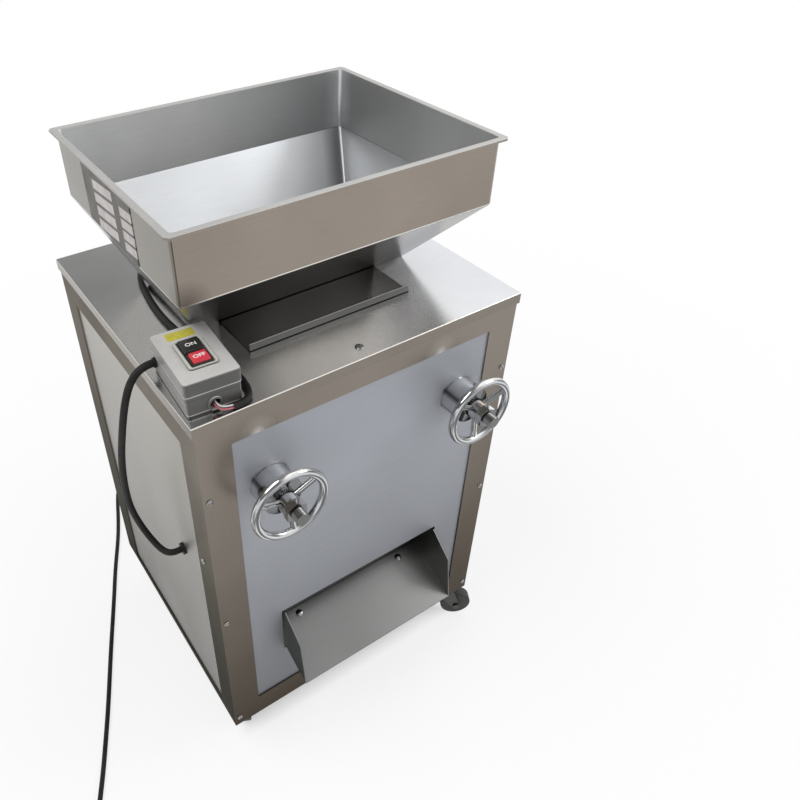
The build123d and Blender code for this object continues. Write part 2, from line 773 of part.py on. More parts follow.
def roller(y, left_end, right_end):
    """Fluted roller with its shoulders and journals; the ends carry a gear or a pulley."""
    flutes = [Rot(0, 0, 360 * turn / FLUTES) * Pos(ROLLER_R, 0) * Circle(FLUTE_R) for turn in range(FLUTES)]
    section = Circle(ROLLER_R) - flutes
    half = ROLLER_L / 2
    body = Plane(origin=(-half, y, AXIS_Z), z_dir=X_AXIS) * extrude(section, amount=ROLLER_L)
    shoulder = half + SHOULDER_L
    journal = BLOCK_X1 + BEARING_W / 2
    body += rod(SHOULDER_R, (-shoulder, y, AXIS_Z), X_AXIS, 2 * shoulder)
    body += rod(JOURNAL_R, (-journal, y, AXIS_Z), X_AXIS, 2 * journal)
    return body + rod(SEAT_R, (left_end, y, AXIS_Z), X_AXIS, right_end - left_end)


def gear(y, first_tooth):
    """Spur gear; first_tooth is the angle of one tooth from +y."""
    pitch_r = GEAR_MODULE * GEAR_TEETH / 2
    tip_r = pitch_r + GEAR_MODULE
    root_r = pitch_r - GEAR_ROOT
    slope = math.tan(math.radians(GEAR_ANGLE))
    tip_half = GEAR_HALF_TOOTH - slope * GEAR_MODULE
    root_half = GEAR_HALF_TOOTH + slope * (pitch_r - root_r)
    inner_r = root_r - GEAR_MODULE / 2
    tooth = make_face(
        Polyline((inner_r, -root_half), (root_r, -root_half), (tip_r, -tip_half),
                 (tip_r, tip_half), (root_r, root_half), (inner_r, root_half), close=True)
    )
    step = 360 / GEAR_TEETH
    section = Circle(root_r) + [Rot(0, 0, first_tooth + step * turn) * tooth for turn in range(GEAR_TEETH)]
    section -= Circle(SEAT_R + FIT)
    face = Plane(origin=(GEAR_X, y, AXIS_Z), x_dir=Y_AXIS, z_dir=X_AXIS)
    return face * extrude(section, amount=GEAR_W)


def scraper(y):
    """Blade under a roller, fixed between the bearers."""
    high = AXIS_Z - ROLLER_R - SCRAPER_GAP
    return block(-BEARER_X0, BEARER_X0, y - SCRAPER_T / 2, y + SCRAPER_T / 2, high - SCRAPER_H, high)


# Belt drive and motor
def pulley(radius, bore, y, z):
    """Flat-bottomed pulley with one groove for the belt."""
    left = PULLEY_X - PULLEY_W / 2
    groove = BELT_W + 2 * GROOVE_PLAY
    wheel = ring(radius, bore + FIT, (left, y, z), X_AXIS, PULLEY_W)
    return wheel - ring(radius, radius - GROOVE_DEEP, (PULLEY_X - groove / 2, y, z), X_AXIS, groove)


def drive_belt():
    """Belt round both pulleys, held off their grooves by the running gap."""

    def loop(out):
        top = Pos(REAR_Y, AXIS_Z) * Circle(ROLLER_PULLEY_R - GROOVE_DEEP + BELT_GAP + out)
        foot = Pos(MOTOR_Y, MOTOR_Z) * Circle(MOTOR_PULLEY_R - GROOVE_DEEP + BELT_GAP + out)
        return make_hull(top.edges() + foot.edges())

    side = Plane(origin=(PULLEY_X - BELT_W / 2, 0, 0), x_dir=Y_AXIS, z_dir=X_AXIS)
    return side * extrude(loop(BELT_T) - loop(0), amount=BELT_W)


def motor_housing():
    """Finned motor body with its end bells, feet and the pad for the terminal box."""
    fin = Rectangle(2 * FIN_H, FIN_T)
    fins = [Rot(0, 0, 360 * turn / FINS) * Pos(MOTOR_R, 0) * fin for turn in range(FINS)]
    length = MOTOR_X1 - MOTOR_X0
    face = Plane(origin=(MOTOR_X0, MOTOR_Y, MOTOR_Z), x_dir=Y_AXIS, z_dir=X_AXIS)
    body = face * extrude(Circle(MOTOR_R) + fins, amount=length)
    for x in (MOTOR_X0, MOTOR_X1 - BELL_L):
        body += rod(MOTOR_R + FIN_H, (x, MOTOR_Y, MOTOR_Z), X_AXIS, BELL_L)
    x0 = MOTOR_RAIL_X[0] - TUBE_SIZE / 2
    x1 = MOTOR_RAIL_X[1] + TUBE_SIZE / 2
    foot_y = MOTOR_Y - MOTOR_FOOT_Y / 2
    web_y = MOTOR_Y - MOTOR_WEB_Y / 2
    body += block(x0, x1, foot_y, foot_y + MOTOR_FOOT_Y, MOTOR_RAIL_TOP, MOTOR_RAIL_TOP + MOTOR_FOOT_T)
    body += block(x0, x1, web_y, web_y + MOTOR_WEB_Y, MOTOR_RAIL_TOP, MOTOR_Z - MOTOR_R / 2)
    pad_x = TERMINAL_MID_X - TERMINAL_X / 2
    pad_y = MOTOR_Y - TERMINAL_Y / 2
    pad_top = MOTOR_Z + MOTOR_R + FIN_H + PAD_RISE
    body += block(pad_x, pad_x + TERMINAL_X, pad_y, pad_y + TERMINAL_Y, MOTOR_Z, pad_top)
    return body - rod(SHAFT_R + SLIDE_FIT, (MOTOR_X0, MOTOR_Y, MOTOR_Z), X_AXIS, SHAFT_IN + GROOVE_PLAY)


def motor_covers():
    """Fan cover on the motor's free end, and its terminal box."""
    start = (MOTOR_X1, MOTOR_Y, MOTOR_Z)
    outer = MOTOR_R + FIN_H
    fan_cover = rod(outer, start, X_AXIS, FAN_COVER_L)
    fan_cover -= rod(outer - FAN_COVER_T, start, X_AXIS, FAN_COVER_L - FAN_COVER_T)
    x0 = TERMINAL_MID_X - TERMINAL_X / 2
    y0 = MOTOR_Y - TERMINAL_Y / 2
    z0 = MOTOR_Z + MOTOR_R + FIN_H + PAD_RISE
    wall = TERMINAL_WALL
    terminal_box = block(x0, x0 + TERMINAL_X, y0, y0 + TERMINAL_Y, z0, z0 + TERMINAL_H)
    terminal_box -= block(
        x0 + wall, x0 + TERMINAL_X - wall, y0 + wall, y0 + TERMINAL_Y - wall, z0, z0 + TERMINAL_H - wall
    )
    return [fan_cover, terminal_box]


def motor_shaft():
    left = PULLEY_X - PULLEY_W / 2 - SEAT_END
    return rod(SHAFT_R, (left, MOTOR_Y, MOTOR_Z), X_AXIS, MOTOR_X0 + SHAFT_IN - left)


# Handwheels and adjusting rods
def screw_collar(side):
    """Collar on the front panel that the handwheel bears on, with a spigot through the panel."""
    start = (side * SCREW_X, -IN_Y, AXIS_Z)
    outward = (0, -1, 0)
    collar = rod(COLLAR_R, start, outward, COLLAR_L) + rod(COLLAR_LIP_R, start, outward, COLLAR_LIP_T)
    collar += rod(SPIGOT_R, start, Y_AXIS, SPIGOT_L)
    bore_start = (side * SCREW_X, COLLAR_FACE, AXIS_Z)
    return collar - rod(ROD_R + SLIDE_FIT, bore_start, Y_AXIS, COLLAR_L + SPIGOT_L)


def adjusting_rod(side):
    """Rod from the handwheel to the front chock, with a thread on its outer end."""
    outline = [(0, ROD_TIP), (ROD_R - THREAD_DEEP, ROD_TIP)]
    turns = int(THREAD_L / THREAD_PITCH)
    for turn in range(turns):
        y = ROD_TIP + THREAD_PITCH * turn
        outline += [(ROD_R, y + THREAD_PITCH / 2), (ROD_R - THREAD_DEEP, y + THREAD_PITCH)]
    thread_end = ROD_TIP + THREAD_PITCH * turns
    outline += [(ROD_R, thread_end + THREAD_PITCH / 2), (ROD_R, CHOCK_Y0), (0, CHOCK_Y0)]
    half = make_face(Polyline(*outline, close=True))
    return Pos(side * SCREW_X, 0, AXIS_Z) * revolve(half, axis=Axis.Y)


def handwheel(hand, side):
    """Hub, three spokes and a round rim."""
    x = side * SCREW_X
    hub = ring(HUB_R, ROD_R + SLIDE_FIT, (x, HUB_FACE, AXIS_Z), Y_AXIS, HUB_L)
    rim_y = -HALF_Y - WHEEL_DISH
    mid_r = WHEEL_RIM_R - WHEEL_TUBE_R
    wheel = hub + Plane(origin=(x, rim_y, AXIS_Z), z_dir=Y_AXIS) * Torus(mid_r, WHEEL_TUBE_R)
    hub_y = HUB_FACE + HUB_L / 2
    inner_r = (ROD_R + HUB_R) / 2 + SPOKE_R / 2
    for angle in SPOKES[hand]:
        along_x = math.cos(math.radians(angle))
        along_z = math.sin(math.radians(angle))
        start = Vector(x + inner_r * along_x, hub_y, AXIS_Z + inner_r * along_z)
        end = Vector(x + mid_r * along_x, rim_y, AXIS_Z + mid_r * along_z)
        wheel += rod(SPOKE_R, start, end - start, (end - start).length)
    return wheel - rod(ROD_R + SLIDE_FIT, (x, HUB_FACE, AXIS_Z), Y_AXIS, HUB_L)


def lock_nut(side):
    """Hex nut against the handwheel's hub."""
    start = (side * SCREW_X, NUT_FACE, AXIS_Z)
    return hexagon(NUT_AF, start, Y_AXIS, NUT_T) - rod(ROD_R + SLIDE_FIT, start, Y_AXIS, NUT_T)


# Outlet
def tray_floor(y):
    """Height of the tray's floor."""
    return Z_LID - TRAY_DROP + (y + HALF_Y) * TRAY_TAN


def outlet_tray():
    """Sloping spout with two cheeks, through the slot in the front panel."""
    half = TRAY_X / 2
    thick = TRAY_T / TRAY_COS
    lip_y = -HALF_Y - TRAY_OUT
    inner_y = -HALF_Y + TRAY_IN
    high = Z_LID - TRAY_CHEEK_DROP
    floor = [
        (lip_y, tray_floor(lip_y)),
        (inner_y, tray_floor(inner_y)),
        (inner_y, tray_floor(inner_y) - thick),
        (lip_y, tray_floor(lip_y) - thick),
    ]
    cheek = [
        (lip_y, tray_floor(lip_y) - thick),
        (inner_y, tray_floor(inner_y) - thick),
        (inner_y, high),
        (-HALF_Y, high),
        (-HALF_Y - TRAY_NOSE_OUT, Z_LID - TRAY_NOSE_DROP),
    ]
    tray = plate_x(floor, -half, half)
    for side in SIDES:
        x0, x1 = sorted((side * half, side * (half - TRAY_T)))
        tray += plate_x(cheek, x0, x1)
    return drill_screws(tray)


def inner_chute():
    """Sloping chute from under the rollers to the tray, hung from the bearers."""
    half = CHUTE_X / 2
    thick = TRAY_T / TRAY_COS
    front_y = -HALF_Y + TRAY_IN + TRAY_T
    front_z = tray_floor(front_y) - thick
    lap_y = front_y - CHUTE_LAP
    lap_z = tray_floor(lap_y) - thick
    rear_z = BEARER_FOOT - CHUTE_DROP
    slant = TRAY_T * math.hypot(CHUTE_REAR_Y - front_y, rear_z - front_z) / (CHUTE_REAR_Y - front_y)
    floor = [
        (CHUTE_REAR_Y, rear_z),
        (front_y, front_z),
        (lap_y, lap_z),
        (lap_y, lap_z - thick),
        (front_y, front_z - slant),
        (CHUTE_REAR_Y, rear_z - slant),
    ]
    wall = [
        (CHUTE_REAR_Y, rear_z - slant),
        (front_y, front_z - slant),
        (front_y, BEARER_FOOT),
        (CHUTE_REAR_Y, BEARER_FOOT),
    ]
    chute = plate_x(floor, -half, half)
    for side in SIDES:
        x0, x1 = sorted((side * half, side * (half - TRAY_T)))
        chute += plate_x(wall, x0, x1)
    return chute


# Switch
def on_switch(solid):
    """Place a solid of the switch box, which stands slightly askew on the lid."""
    return Pos(SWITCH_X, SWITCH_Y, Z_LID) * Rot(0, 0, SWITCH_YAW) * solid


def switch_point(across, along, z):
    """A point of the switch box, from the cabinet's middle and the floor."""
    yaw = math.radians(SWITCH_YAW)
    x = SWITCH_X + across * math.cos(yaw) - along * math.sin(yaw)
    y = SWITCH_Y + across * math.sin(yaw) + along * math.cos(yaw)
    return (x, y, Z_LID + z)


def switch_base():
    """Lower box with a ringed hole for the supply's cores and a hole for the motor's lead."""
    inner_corner = SWITCH_CORNER - SWITCH_WALL
    inner_w = SWITCH_W - 2 * SWITCH_WALL
    inner_l = SWITCH_L - 2 * SWITCH_WALL
    base = rounded_block(SWITCH_W, SWITCH_L, SWITCH_CORNER, 0, SWITCH_BASE_H)
    end = (0, -SWITCH_L / 2, CORE_HOLE_Z)
    base += rod(CORE_RING_R, end, (0, -1, 0), CORE_RING_T)
    base -= rounded_block(inner_w, inner_l, inner_corner, SWITCH_WALL, SWITCH_BASE_H)
    ring_face = (0, -SWITCH_L / 2 - CORE_RING_T, CORE_HOLE_Z)
    base -= rod(CORE_HOLE_R, ring_face, Y_AXIS, CORE_RING_T + SWITCH_WALL)
    base -= rod(BOSS_PLUG_R + SLIDE_FIT, (-SWITCH_W / 2, EXIT_Y, EXIT_Z), X_AXIS, SWITCH_WALL)
    return on_switch(base)


def switch_cover():
    """Upper half of the box with the opening for the buttons."""
    width = SWITCH_W + 2 * SWITCH_OVERHANG
    length = SWITCH_L + 2 * SWITCH_OVERHANG
    corner = SWITCH_CORNER + SWITCH_OVERHANG
    high = SWITCH_BASE_H + SWITCH_COVER_H
    low = high - SWITCH_TOP_T
    wall = 2 * SWITCH_WALL
    cover = rounded_block(width, length, corner, SWITCH_BASE_H, high)
    cover = fillet(cover.faces().sort_by(Axis.Z)[-1].edges(), SWITCH_TOP_R)
    cover -= rounded_block(width - wall, length - wall, corner - SWITCH_WALL, SWITCH_BASE_H, low)
    half = BEZEL_W / 2 - BEZEL_LAP
    cover -= block(-half, half, BEZEL_Y[0] + BEZEL_LAP, BEZEL_Y[1] - BEZEL_LAP / 2, low, high)
    return on_switch(cover)


def switch_bezel():
    """Frame round the two buttons."""
    low = SWITCH_BASE_H + SWITCH_COVER_H
    half = BUTTON_W / 2 + BUTTON_PLAY
    outline = rounded_block(BEZEL_W, BEZEL_Y[1] - BEZEL_Y[0], BEZEL_CORNER, low, low + BEZEL_T)
    bezel = Pos(0, sum(BEZEL_Y) / 2, 0) * outline
    for y0, y1 in (ON_Y, OFF_Y):
        bezel -= block(-half, half, y0 - BUTTON_PLAY, y1 + BUTTON_PLAY, low, low + BEZEL_T)
    return on_switch(bezel)


def push_button(span, rise):
    """Button cap with a flange that the bezel holds down."""
    high = SWITCH_BASE_H + SWITCH_COVER_H + BEZEL_T + rise
    low = SWITCH_BASE_H + SWITCH_COVER_H - BUTTON_DEEP
    half = BUTTON_W / 2
    wide = half + BUTTON_FLANGE
    cap = block(-half, half, span[0], span[1], low, high)
    return on_switch(cap + block(-wide, wide, span[0], span[1], low, low + BUTTON_FLANGE_T))


# Casters
def caster_plate(corner):
    """Plate bolted under the cabinet's corner, bored for the king pin."""
    side_x, side_y = CORNERS[corner]
    x = side_x * CASTER_X
    y = side_y * CASTER_Y
    half = CASTER_PLATE / 2
    plate = block(x - half, x + half, y - half, y + half, PLATE_Z, Z_FRAME)
    for bolt_x, bolt_y in bolt_places(corner):
        plate -= rod(BOLT_R + SCREW_HOLE, (bolt_x, bolt_y, PLATE_Z), Z_AXIS, CASTER_PLATE_T)
    return plate - rod(KING_PIN_R + RUN_FIT, (x, y, PLATE_Z), Z_AXIS, CASTER_PLATE_T)


def on_caster(corner, solid):
    """Place a solid of one caster, turned about its king pin."""
    side_x, side_y = CORNERS[corner]
    return Pos(side_x * CASTER_X, side_y * CASTER_Y, 0) * Rot(0, 0, CASTER_TURN[corner]) * solid


def caster_fork(corner):
    """Swivel fork with its king pin and axle; the wheel trails along its own +x."""
    inner = WHEEL_HUB_W / 2 + FORK_GAP
    outer = inner + CHEEK_T
    crown_top = PLATE_Z - CROWN_DROP + CROWN_T
    crown_low = crown_top - CROWN_T
    fork = block(-CROWN_R, CROWN_R + CROWN_T, -outer, outer, crown_low, crown_top)
    fork += rod(CROWN_R, (0, 0, crown_low), Z_AXIS, PLATE_Z - HUB_GAP - crown_low)
    fork += rod(KING_PIN_R, (0, 0, crown_low), Z_AXIS, Z_FRAME - SLIDE_FIT - crown_low)
    cheek = [
        (-CROWN_R, crown_top),
        (CROWN_R + CROWN_T, crown_top),
        (CASTER_TRAIL + EYE_R, WHEEL_R + EYE_TILT),
        (CASTER_TRAIL - EYE_R, WHEEL_R - EYE_TILT),
    ]
    for side in SIDES:
        y0, y1 = sorted((side * inner, side * outer))
        fork += plate_y(cheek, y0, y1)
        fork += rod(WHEEL_HUB_R, (CASTER_TRAIL, y0, WHEEL_R), Y_AXIS, CHEEK_T)
    head = outer + CHEEK_T
    fork += rod(AXLE_R, (CASTER_TRAIL, -head, WHEEL_R), Y_AXIS, 2 * head)
    for y in (-head, outer):
        fork += rod(AXLE_R + CHEEK_T, (CASTER_TRAIL, y, WHEEL_R), Y_AXIS, CHEEK_T)
    return on_caster(corner, fork)


def caster_wheel(corner):
    """Wheel with a rounded tread and a hub boss on each side."""
    start = (CASTER_TRAIL, -WHEEL_W / 2, WHEEL_R)
    tread = fillet(rod(WHEEL_R, start, Y_AXIS, WHEEL_W).edges().filter_by(GeomType.CIRCLE), CHEEK_T)
    hub_start = (CASTER_TRAIL, -WHEEL_HUB_W / 2, WHEEL_R)
    wheel = tread + rod(WHEEL_HUB_R, hub_start, Y_AXIS, WHEEL_HUB_W)
    return on_caster(corner, wheel - rod(AXLE_R + RUN_FIT, hub_start, Y_AXIS, WHEEL_HUB_W))


# Leads
def raised(points, z):
    """A route with its heights counted from z."""
    return [(x, y, z + height) for x, y, height in points]


def corner_radii(points):
    """The largest bend that each inner point of a route has room for."""
    radii = []
    for before, here, after in zip(points, points[1:], points[2:]):
        arrive = Vector(*here) - Vector(*before)
        leave = Vector(*after) - Vector(*here)
        half_turn = math.radians(arrive.get_angle(leave)) / 2
        radii.append(ARC_SHARE * min(arrive.length, leave.length) / math.tan(half_turn))
    return radii


def swept(path, radius, label):
    """Round tube along a path, with its volume checked against section times length."""
    section = Plane(origin=path @ 0, z_dir=path % 0) * Circle(radius)
    tube = sweep(section, path=path)
    share = tube.volume / (math.pi * radius**2 * path.length)
    print(label, "length", round(path.length), "volume share", round(share, 4))
    return tube


def lead_tube(points, radius, label):
    """Tube along a route of straight runs and tangent arcs."""
    radii = corner_radii(points)
    print(label, "radii", [round(value) for value in radii])
    return swept(FilletPolyline(*points, radius=radii), radius, label)


def motor_lead():
    """Lead from the switch box out past the lid and into the left panel."""
    box_face = -SWITCH_W / 2 - BOSS_T
    panel_face = -IN_X - BOSS_T
    panel_z = Z_LID - LEAD_PANEL_DROP
    leave = [switch_point(box_face, EXIT_Y, EXIT_Z), switch_point(box_face - LEAD_STUB, EXIT_Y, EXIT_Z)]
    enter = [(panel_face - LEAD_STUB, LEAD_PANEL_Y, panel_z), (panel_face, LEAD_PANEL_Y, panel_z)]
    return lead_tube(leave + raised(MOTOR_LEAD_ROUTE, Z_LID) + enter, MOTOR_LEAD_R, "motor lead")


def lead_grommets():
    """Rubber bosses where the motor's lead leaves the switch box and enters the panel."""
    box_face = (-SWITCH_W / 2, EXIT_Y, EXIT_Z)
    box_boss = rod(BOX_BOSS_R, box_face, (-1, 0, 0), BOSS_T) + rod(BOSS_PLUG_R, box_face, X_AXIS, SWITCH_WALL)
    panel_face = (-IN_X, LEAD_PANEL_Y, Z_LID - LEAD_PANEL_DROP)
    panel_boss = rod(PANEL_BOSS_R, panel_face, (-1, 0, 0), BOSS_T)
    panel_boss += rod(PANEL_PLUG_R, panel_face, X_AXIS, PANEL_T + BOSS_T)
    return [on_switch(box_boss), panel_boss]


def lead_cores():
    """Bare cores between the ringed hole and the supply lead's sheath."""
    return [lead_tube(raised(route, Z_LID), CORE_R, "core") for route in CORE_ROUTES]


def supply_route():
    """The supply lead's points from the switch to the coil."""
    floor = [(x, y, FLOOR_Z) for x, y in FLOOR_ROUTE]
    approach = [(x, y, COIL_Z) for x, y in COIL_APPROACH]
    return raised(LID_ROUTE, Z_LID) + floor + approach


def on_coil(solid):
    """Place a solid of the coil, which starts where the lead's last run ends."""
    before = Vector(*COIL_APPROACH[-2])
    last = Vector(*COIL_APPROACH[-1])
    run = last - before
    heading = math.degrees(math.atan2(run.Y, run.X)) - 90
    entry = Pos(last.X, last.Y, 0) * Rot(0, 0, heading) * Pos(-COIL_R, 2 * LEAD_R, 0)
    return entry * solid


def coil_path():
    """Loops that spiral in on the floor, climb, and spiral out on top of them."""
    width = 2 * COIL_R
    step = COIL_PITCH
    inward = [width - step * turn for turn in range(COIL_HALF_TURNS)]
    narrow = inward[-1] - step
    outward = inward[::-1]
    x = COIL_R
    z = COIL_Z
    way = 1
    path = [Line((x, -2 * LEAD_R, z), (x, 0, z))]
    for diameter in inward:
        x, way = add_half_turn(path, x, z, diameter, way)
    high = z + COIL_STEP
    middle = (x - way * narrow / 2, way * math.hypot(narrow / 2, COIL_STEP / 2), z + COIL_STEP / 2)
    path.append(TangentArc((x, 0, z), middle, tangent=(0, way, 0)))
    path.append(TangentArc(middle, (x - way * narrow, 0, high), tangent=path[-1] % 1))
    x, way = x - way * narrow, -way
    for diameter in outward:
        x, way = add_half_turn(path, x, high, diameter, way)
    path.append(Line((x, 0, high), (x, way * COIL_TAIL, high)))
    return Wire(path), x, way


def add_half_turn(path, x, z, diameter, way):
    """Add a half circle from x across the coil, and give the next start and side."""
    end = x - way * diameter
    path.append(ThreePointArc((x, 0, z), ((x + end) / 2, way * diameter / 2, z), (end, 0, z)))
    return end, -way


def least_self_gap(path, radius):
    """Least gap between a tube's stretches that are over two diameters apart along it."""
    count = int(path.length / radius) + 1
    points = [path @ (index / count) for index in range(count + 1)]
    apart = 6
    gaps = [
        (points[first] - points[second]).length
        for first in range(count + 1)
        for second in range(first + apart, count + 1)
    ]
    return min(gaps) - 2 * radius


def coil_tie():
    """Band round the coil's loops."""
    narrow = COIL_R - COIL_PITCH - LEAD_R - 3 * TIE_PLAY
    wide = COIL_R + LEAD_R + TIE_PLAY
    low = COIL_Z - LEAD_R - TIE_PLAY
    high = COIL_Z + COIL_STEP + LEAD_R + TIE_PLAY
    x = -COIL_PITCH / 2
    band = block(x - TIE_W / 2, x + TIE_W / 2, narrow - TIE_T, wide + TIE_T, low - TIE_T, high + TIE_T)
    return on_coil(band - block(x - TIE_W / 2, x + TIE_W / 2, narrow, wide, low, high))


def on_plug(x, way, solid):
    """Place a solid of the plug, which points along its own +x from the end of the coil."""
    return on_coil(Pos(x, way * COIL_TAIL, COIL_Z + COIL_STEP) * Rot(0, 0, 90 * way) * solid)


def mains_plug(x, way):
    """Moulded plug on its side, with a neck that the lead goes into."""
    neck = rod(PLUG_NECK_R, (0, 0, 0), X_AXIS, PLUG_NECK_L)
    section = RectangleRounded(PLUG_W, PLUG_H, PLUG_CORNER)
    face = Plane(origin=(PLUG_NECK_L, 0, 0), x_dir=Y_AXIS, z_dir=X_AXIS)
    return on_plug(x, way, neck + face * extrude(section, amount=PLUG_L))


def plug_pins(x, way):
    """Three flat pins on the plug's face."""
    face = PLUG_NECK_L + PLUG_L
    pins = []
    places = [(side * PIN_STEP / 2, PIN_RISE, PIN_T, PIN_W) for side in SIDES] + [(0, -PIN_DROP, PIN_W, PIN_T)]
    for y, z, wide, tall in places:
        pins.append(block(face, face + PIN_L, y - wide / 2, y + wide / 2, z - tall / 2, z + tall / 2))
    return [on_plug(x, way, pin) for pin in pins]


# The whole machine, one entry for each node
gear_end = GEAR_X + GEAR_W + SEAT_END
pulley_end = PULLEY_X - PULLEY_W / 2 - SEAT_END
plain_end = BLOCK_X1 + BEARING_W / 2
tooth_step = 360 / GEAR_TEETH
coil, coil_x, coil_way = coil_path()
print("coil least self gap", round(least_self_gap(coil, LEAD_R), 2))

nodes = {
    "corner_posts": [corner_post(corner) for corner in CORNERS],
    "frame_rails": frame_rails(),
    "inner_rails": inner_rails(),
    "top_cover": top_cover(),
    "front_panel": front_panel(),
    "left_panel": left_panel(),
    "right_panel": side_panel(1),
    "rear_panel": end_panel(1),
    "cabinet_fasteners": cabinet_fasteners(),
    "hopper_box": hopper_box(),
    "hopper_cone": hopper_cone(),
    "nameplate": nameplate(),
    "throat_insert": throat_insert(),
    "feed_gate": feed_gate(),
    "feed_funnel": feed_funnel(),
    "side_frames": [side_frame(side) for side in SIDES],
    "front_chocks": [front_chock(side) for side in SIDES],
    "front_bearings": [bearing(side, FRONT_Y) for side in SIDES],
    "rear_bearings": [bearing(side, REAR_Y) for side in SIDES],
    "front_roller": roller(FRONT_Y, -plain_end, gear_end),
    "rear_roller": roller(REAR_Y, pulley_end, gear_end),
    "front_gear": gear(FRONT_Y, tooth_step / 2),
    "rear_gear": gear(REAR_Y, 180),
    "scrapers": [scraper(y) for y in (FRONT_Y, REAR_Y)],
    "roller_pulley": pulley(ROLLER_PULLEY_R, SEAT_R, REAR_Y, AXIS_Z),
    "motor_pulley": pulley(MOTOR_PULLEY_R, SHAFT_R, MOTOR_Y, MOTOR_Z),
    "drive_belt": drive_belt(),
    "motor_housing": motor_housing(),
    "motor_covers": motor_covers(),
    "motor_shaft": motor_shaft(),
    "screw_collars": [screw_collar(side) for side in SIDES],
    "adjusting_rods": [adjusting_rod(side) for side in SIDES],
    "left_handwheel": handwheel("left", -1),
    "right_handwheel": handwheel("right", 1),
    "left_lock_nut": lock_nut(-1),
    "right_lock_nut": lock_nut(1),
    "outlet_tray": outlet_tray(),
    "inner_chute": inner_chute(),
    "switch_base": switch_base(),
    "switch_cover": switch_cover(),
    "switch_bezel": switch_bezel(),
    "on_button": push_button(ON_Y, ON_RISE),
    "off_button": push_button(OFF_Y, OFF_RISE),
    "lead_grommets": lead_grommets(),
    "caster_plates": [caster_plate(corner) for corner in CORNERS],
}
for corner in CORNERS:
    nodes[corner + "_fork"] = caster_fork(corner)
    nodes[corner + "_wheel"] = caster_wheel(corner)

lead_nodes = {
    "motor_lead": motor_lead(),
    "lead_cores": lead_cores(),
    "supply_lead": lead_tube(supply_route(), LEAD_R, "supply lead"),
    "supply_coil": on_coil(swept(coil, LEAD_R, "supply coil")),
    "coil_tie": coil_tie(),
    "mains_plug": mains_plug(coil_x, coil_way),
    "plug_pins": plug_pins(coil_x, coil_way),
}


def solids_of(entry):
    """An entry's pieces as a list."""
    return entry if isinstance(entry, list) else [entry]


# The origin is under the middle of the machine without its leads
pieces = [piece for entry in nodes.values() for piece in solids_of(entry)]
box = Compound(pieces).bounding_box()
to_origin = Pos(-(box.min.X + box.max.X) / 2, -(box.min.Y + box.max.Y) / 2, -box.min.Z)
print("size", [round(value, 2) for value in tuple(box.size)], "moved by", to_origin.position)

for node, entry in (nodes | lead_nodes).items():
    placed = [to_origin * piece for piece in solids_of(entry)]
    export_step(placed[0] if len(placed) == 1 else Compound(placed), f"parts/{node}.step")
print(len(nodes) + len(lead_nodes), "nodes")
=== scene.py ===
"""Looks of the roller mill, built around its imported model. Metres, in the model's own frame."""

import bmesh
import bpy
import json
import math
from mathutils import Matrix, Vector


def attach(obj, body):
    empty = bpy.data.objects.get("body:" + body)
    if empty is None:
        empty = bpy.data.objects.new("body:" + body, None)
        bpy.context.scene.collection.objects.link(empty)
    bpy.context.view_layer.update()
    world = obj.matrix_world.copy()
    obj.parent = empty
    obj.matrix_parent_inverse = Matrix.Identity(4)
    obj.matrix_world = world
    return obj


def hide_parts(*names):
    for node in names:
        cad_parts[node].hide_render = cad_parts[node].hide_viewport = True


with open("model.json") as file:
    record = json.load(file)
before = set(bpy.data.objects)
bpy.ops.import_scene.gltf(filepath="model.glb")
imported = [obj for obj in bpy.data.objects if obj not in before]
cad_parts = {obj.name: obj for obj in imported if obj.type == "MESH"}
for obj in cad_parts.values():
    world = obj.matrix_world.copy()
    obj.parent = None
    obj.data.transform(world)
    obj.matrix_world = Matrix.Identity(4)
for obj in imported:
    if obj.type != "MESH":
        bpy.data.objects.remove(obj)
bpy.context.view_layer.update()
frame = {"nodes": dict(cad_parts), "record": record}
nodes = frame["nodes"]

# The part's routes and sizes count millimetres from the cabinet's middle and the floor
SHIFT = Vector((-0.0121973, 0.04075, 0.0))
MILLIMETRES = Matrix.Scale(0.001, 4)
Z_LID = 815.0
X, Y, Z = range(3)
SIDES = (-1, 1)


def at(x, y, z):
    """A point of the part in the frame's metres."""
    return Vector((x, y, z)) / 1000 + SHIFT


def above_lid(points):
    """Route points whose heights count from the lid's top face."""
    return [(x, y, Z_LID + z) for x, y, z in points]


def add_object(name, data):
    """A new object of the scene."""
    made = bpy.data.objects.new(name, data)
    bpy.context.scene.collection.objects.link(made)
    return made


# Camera: lengths in pixels of the photo
IMAGE = 800.0
FOCAL = 754.83
CENTRE = (310.77, 380.93)
YAW = math.radians(32.494)
PITCH = math.radians(38.608)
ROLL = math.radians(0.951)
CAMERA_AT = (-513.3, -894.0, Z_LID + 608.8)
SENSOR_WIDTH = 36.0
CLIP = (0.05, 100.0)


def make_camera():
    """Camera at the photo's place, from the fitted focal length, centre and angles."""
    across = math.cos(PITCH)
    ahead = Vector((math.sin(YAW) * across, math.cos(YAW) * across, -math.sin(PITCH)))
    level = Vector((math.cos(YAW), -math.sin(YAW), 0))
    down = ahead.cross(level)
    right = math.cos(ROLL) * level + math.sin(ROLL) * down
    up = math.sin(ROLL) * level - math.cos(ROLL) * down
    data = bpy.data.cameras.new("camera")
    data.sensor_width = SENSOR_WIDTH
    data.lens = FOCAL * SENSOR_WIDTH / IMAGE
    data.shift_x = (IMAGE / 2 - CENTRE[0]) / IMAGE
    data.shift_y = (CENTRE[1] - IMAGE / 2) / IMAGE
    data.clip_start, data.clip_end = CLIP
    camera = add_object("camera", data)
    turn = Matrix((right, up, -ahead)).transposed()
    camera.matrix_world = Matrix.Translation(at(*CAMERA_AT)) @ turn.to_4x4()
    bpy.context.scene.camera = camera


make_camera()

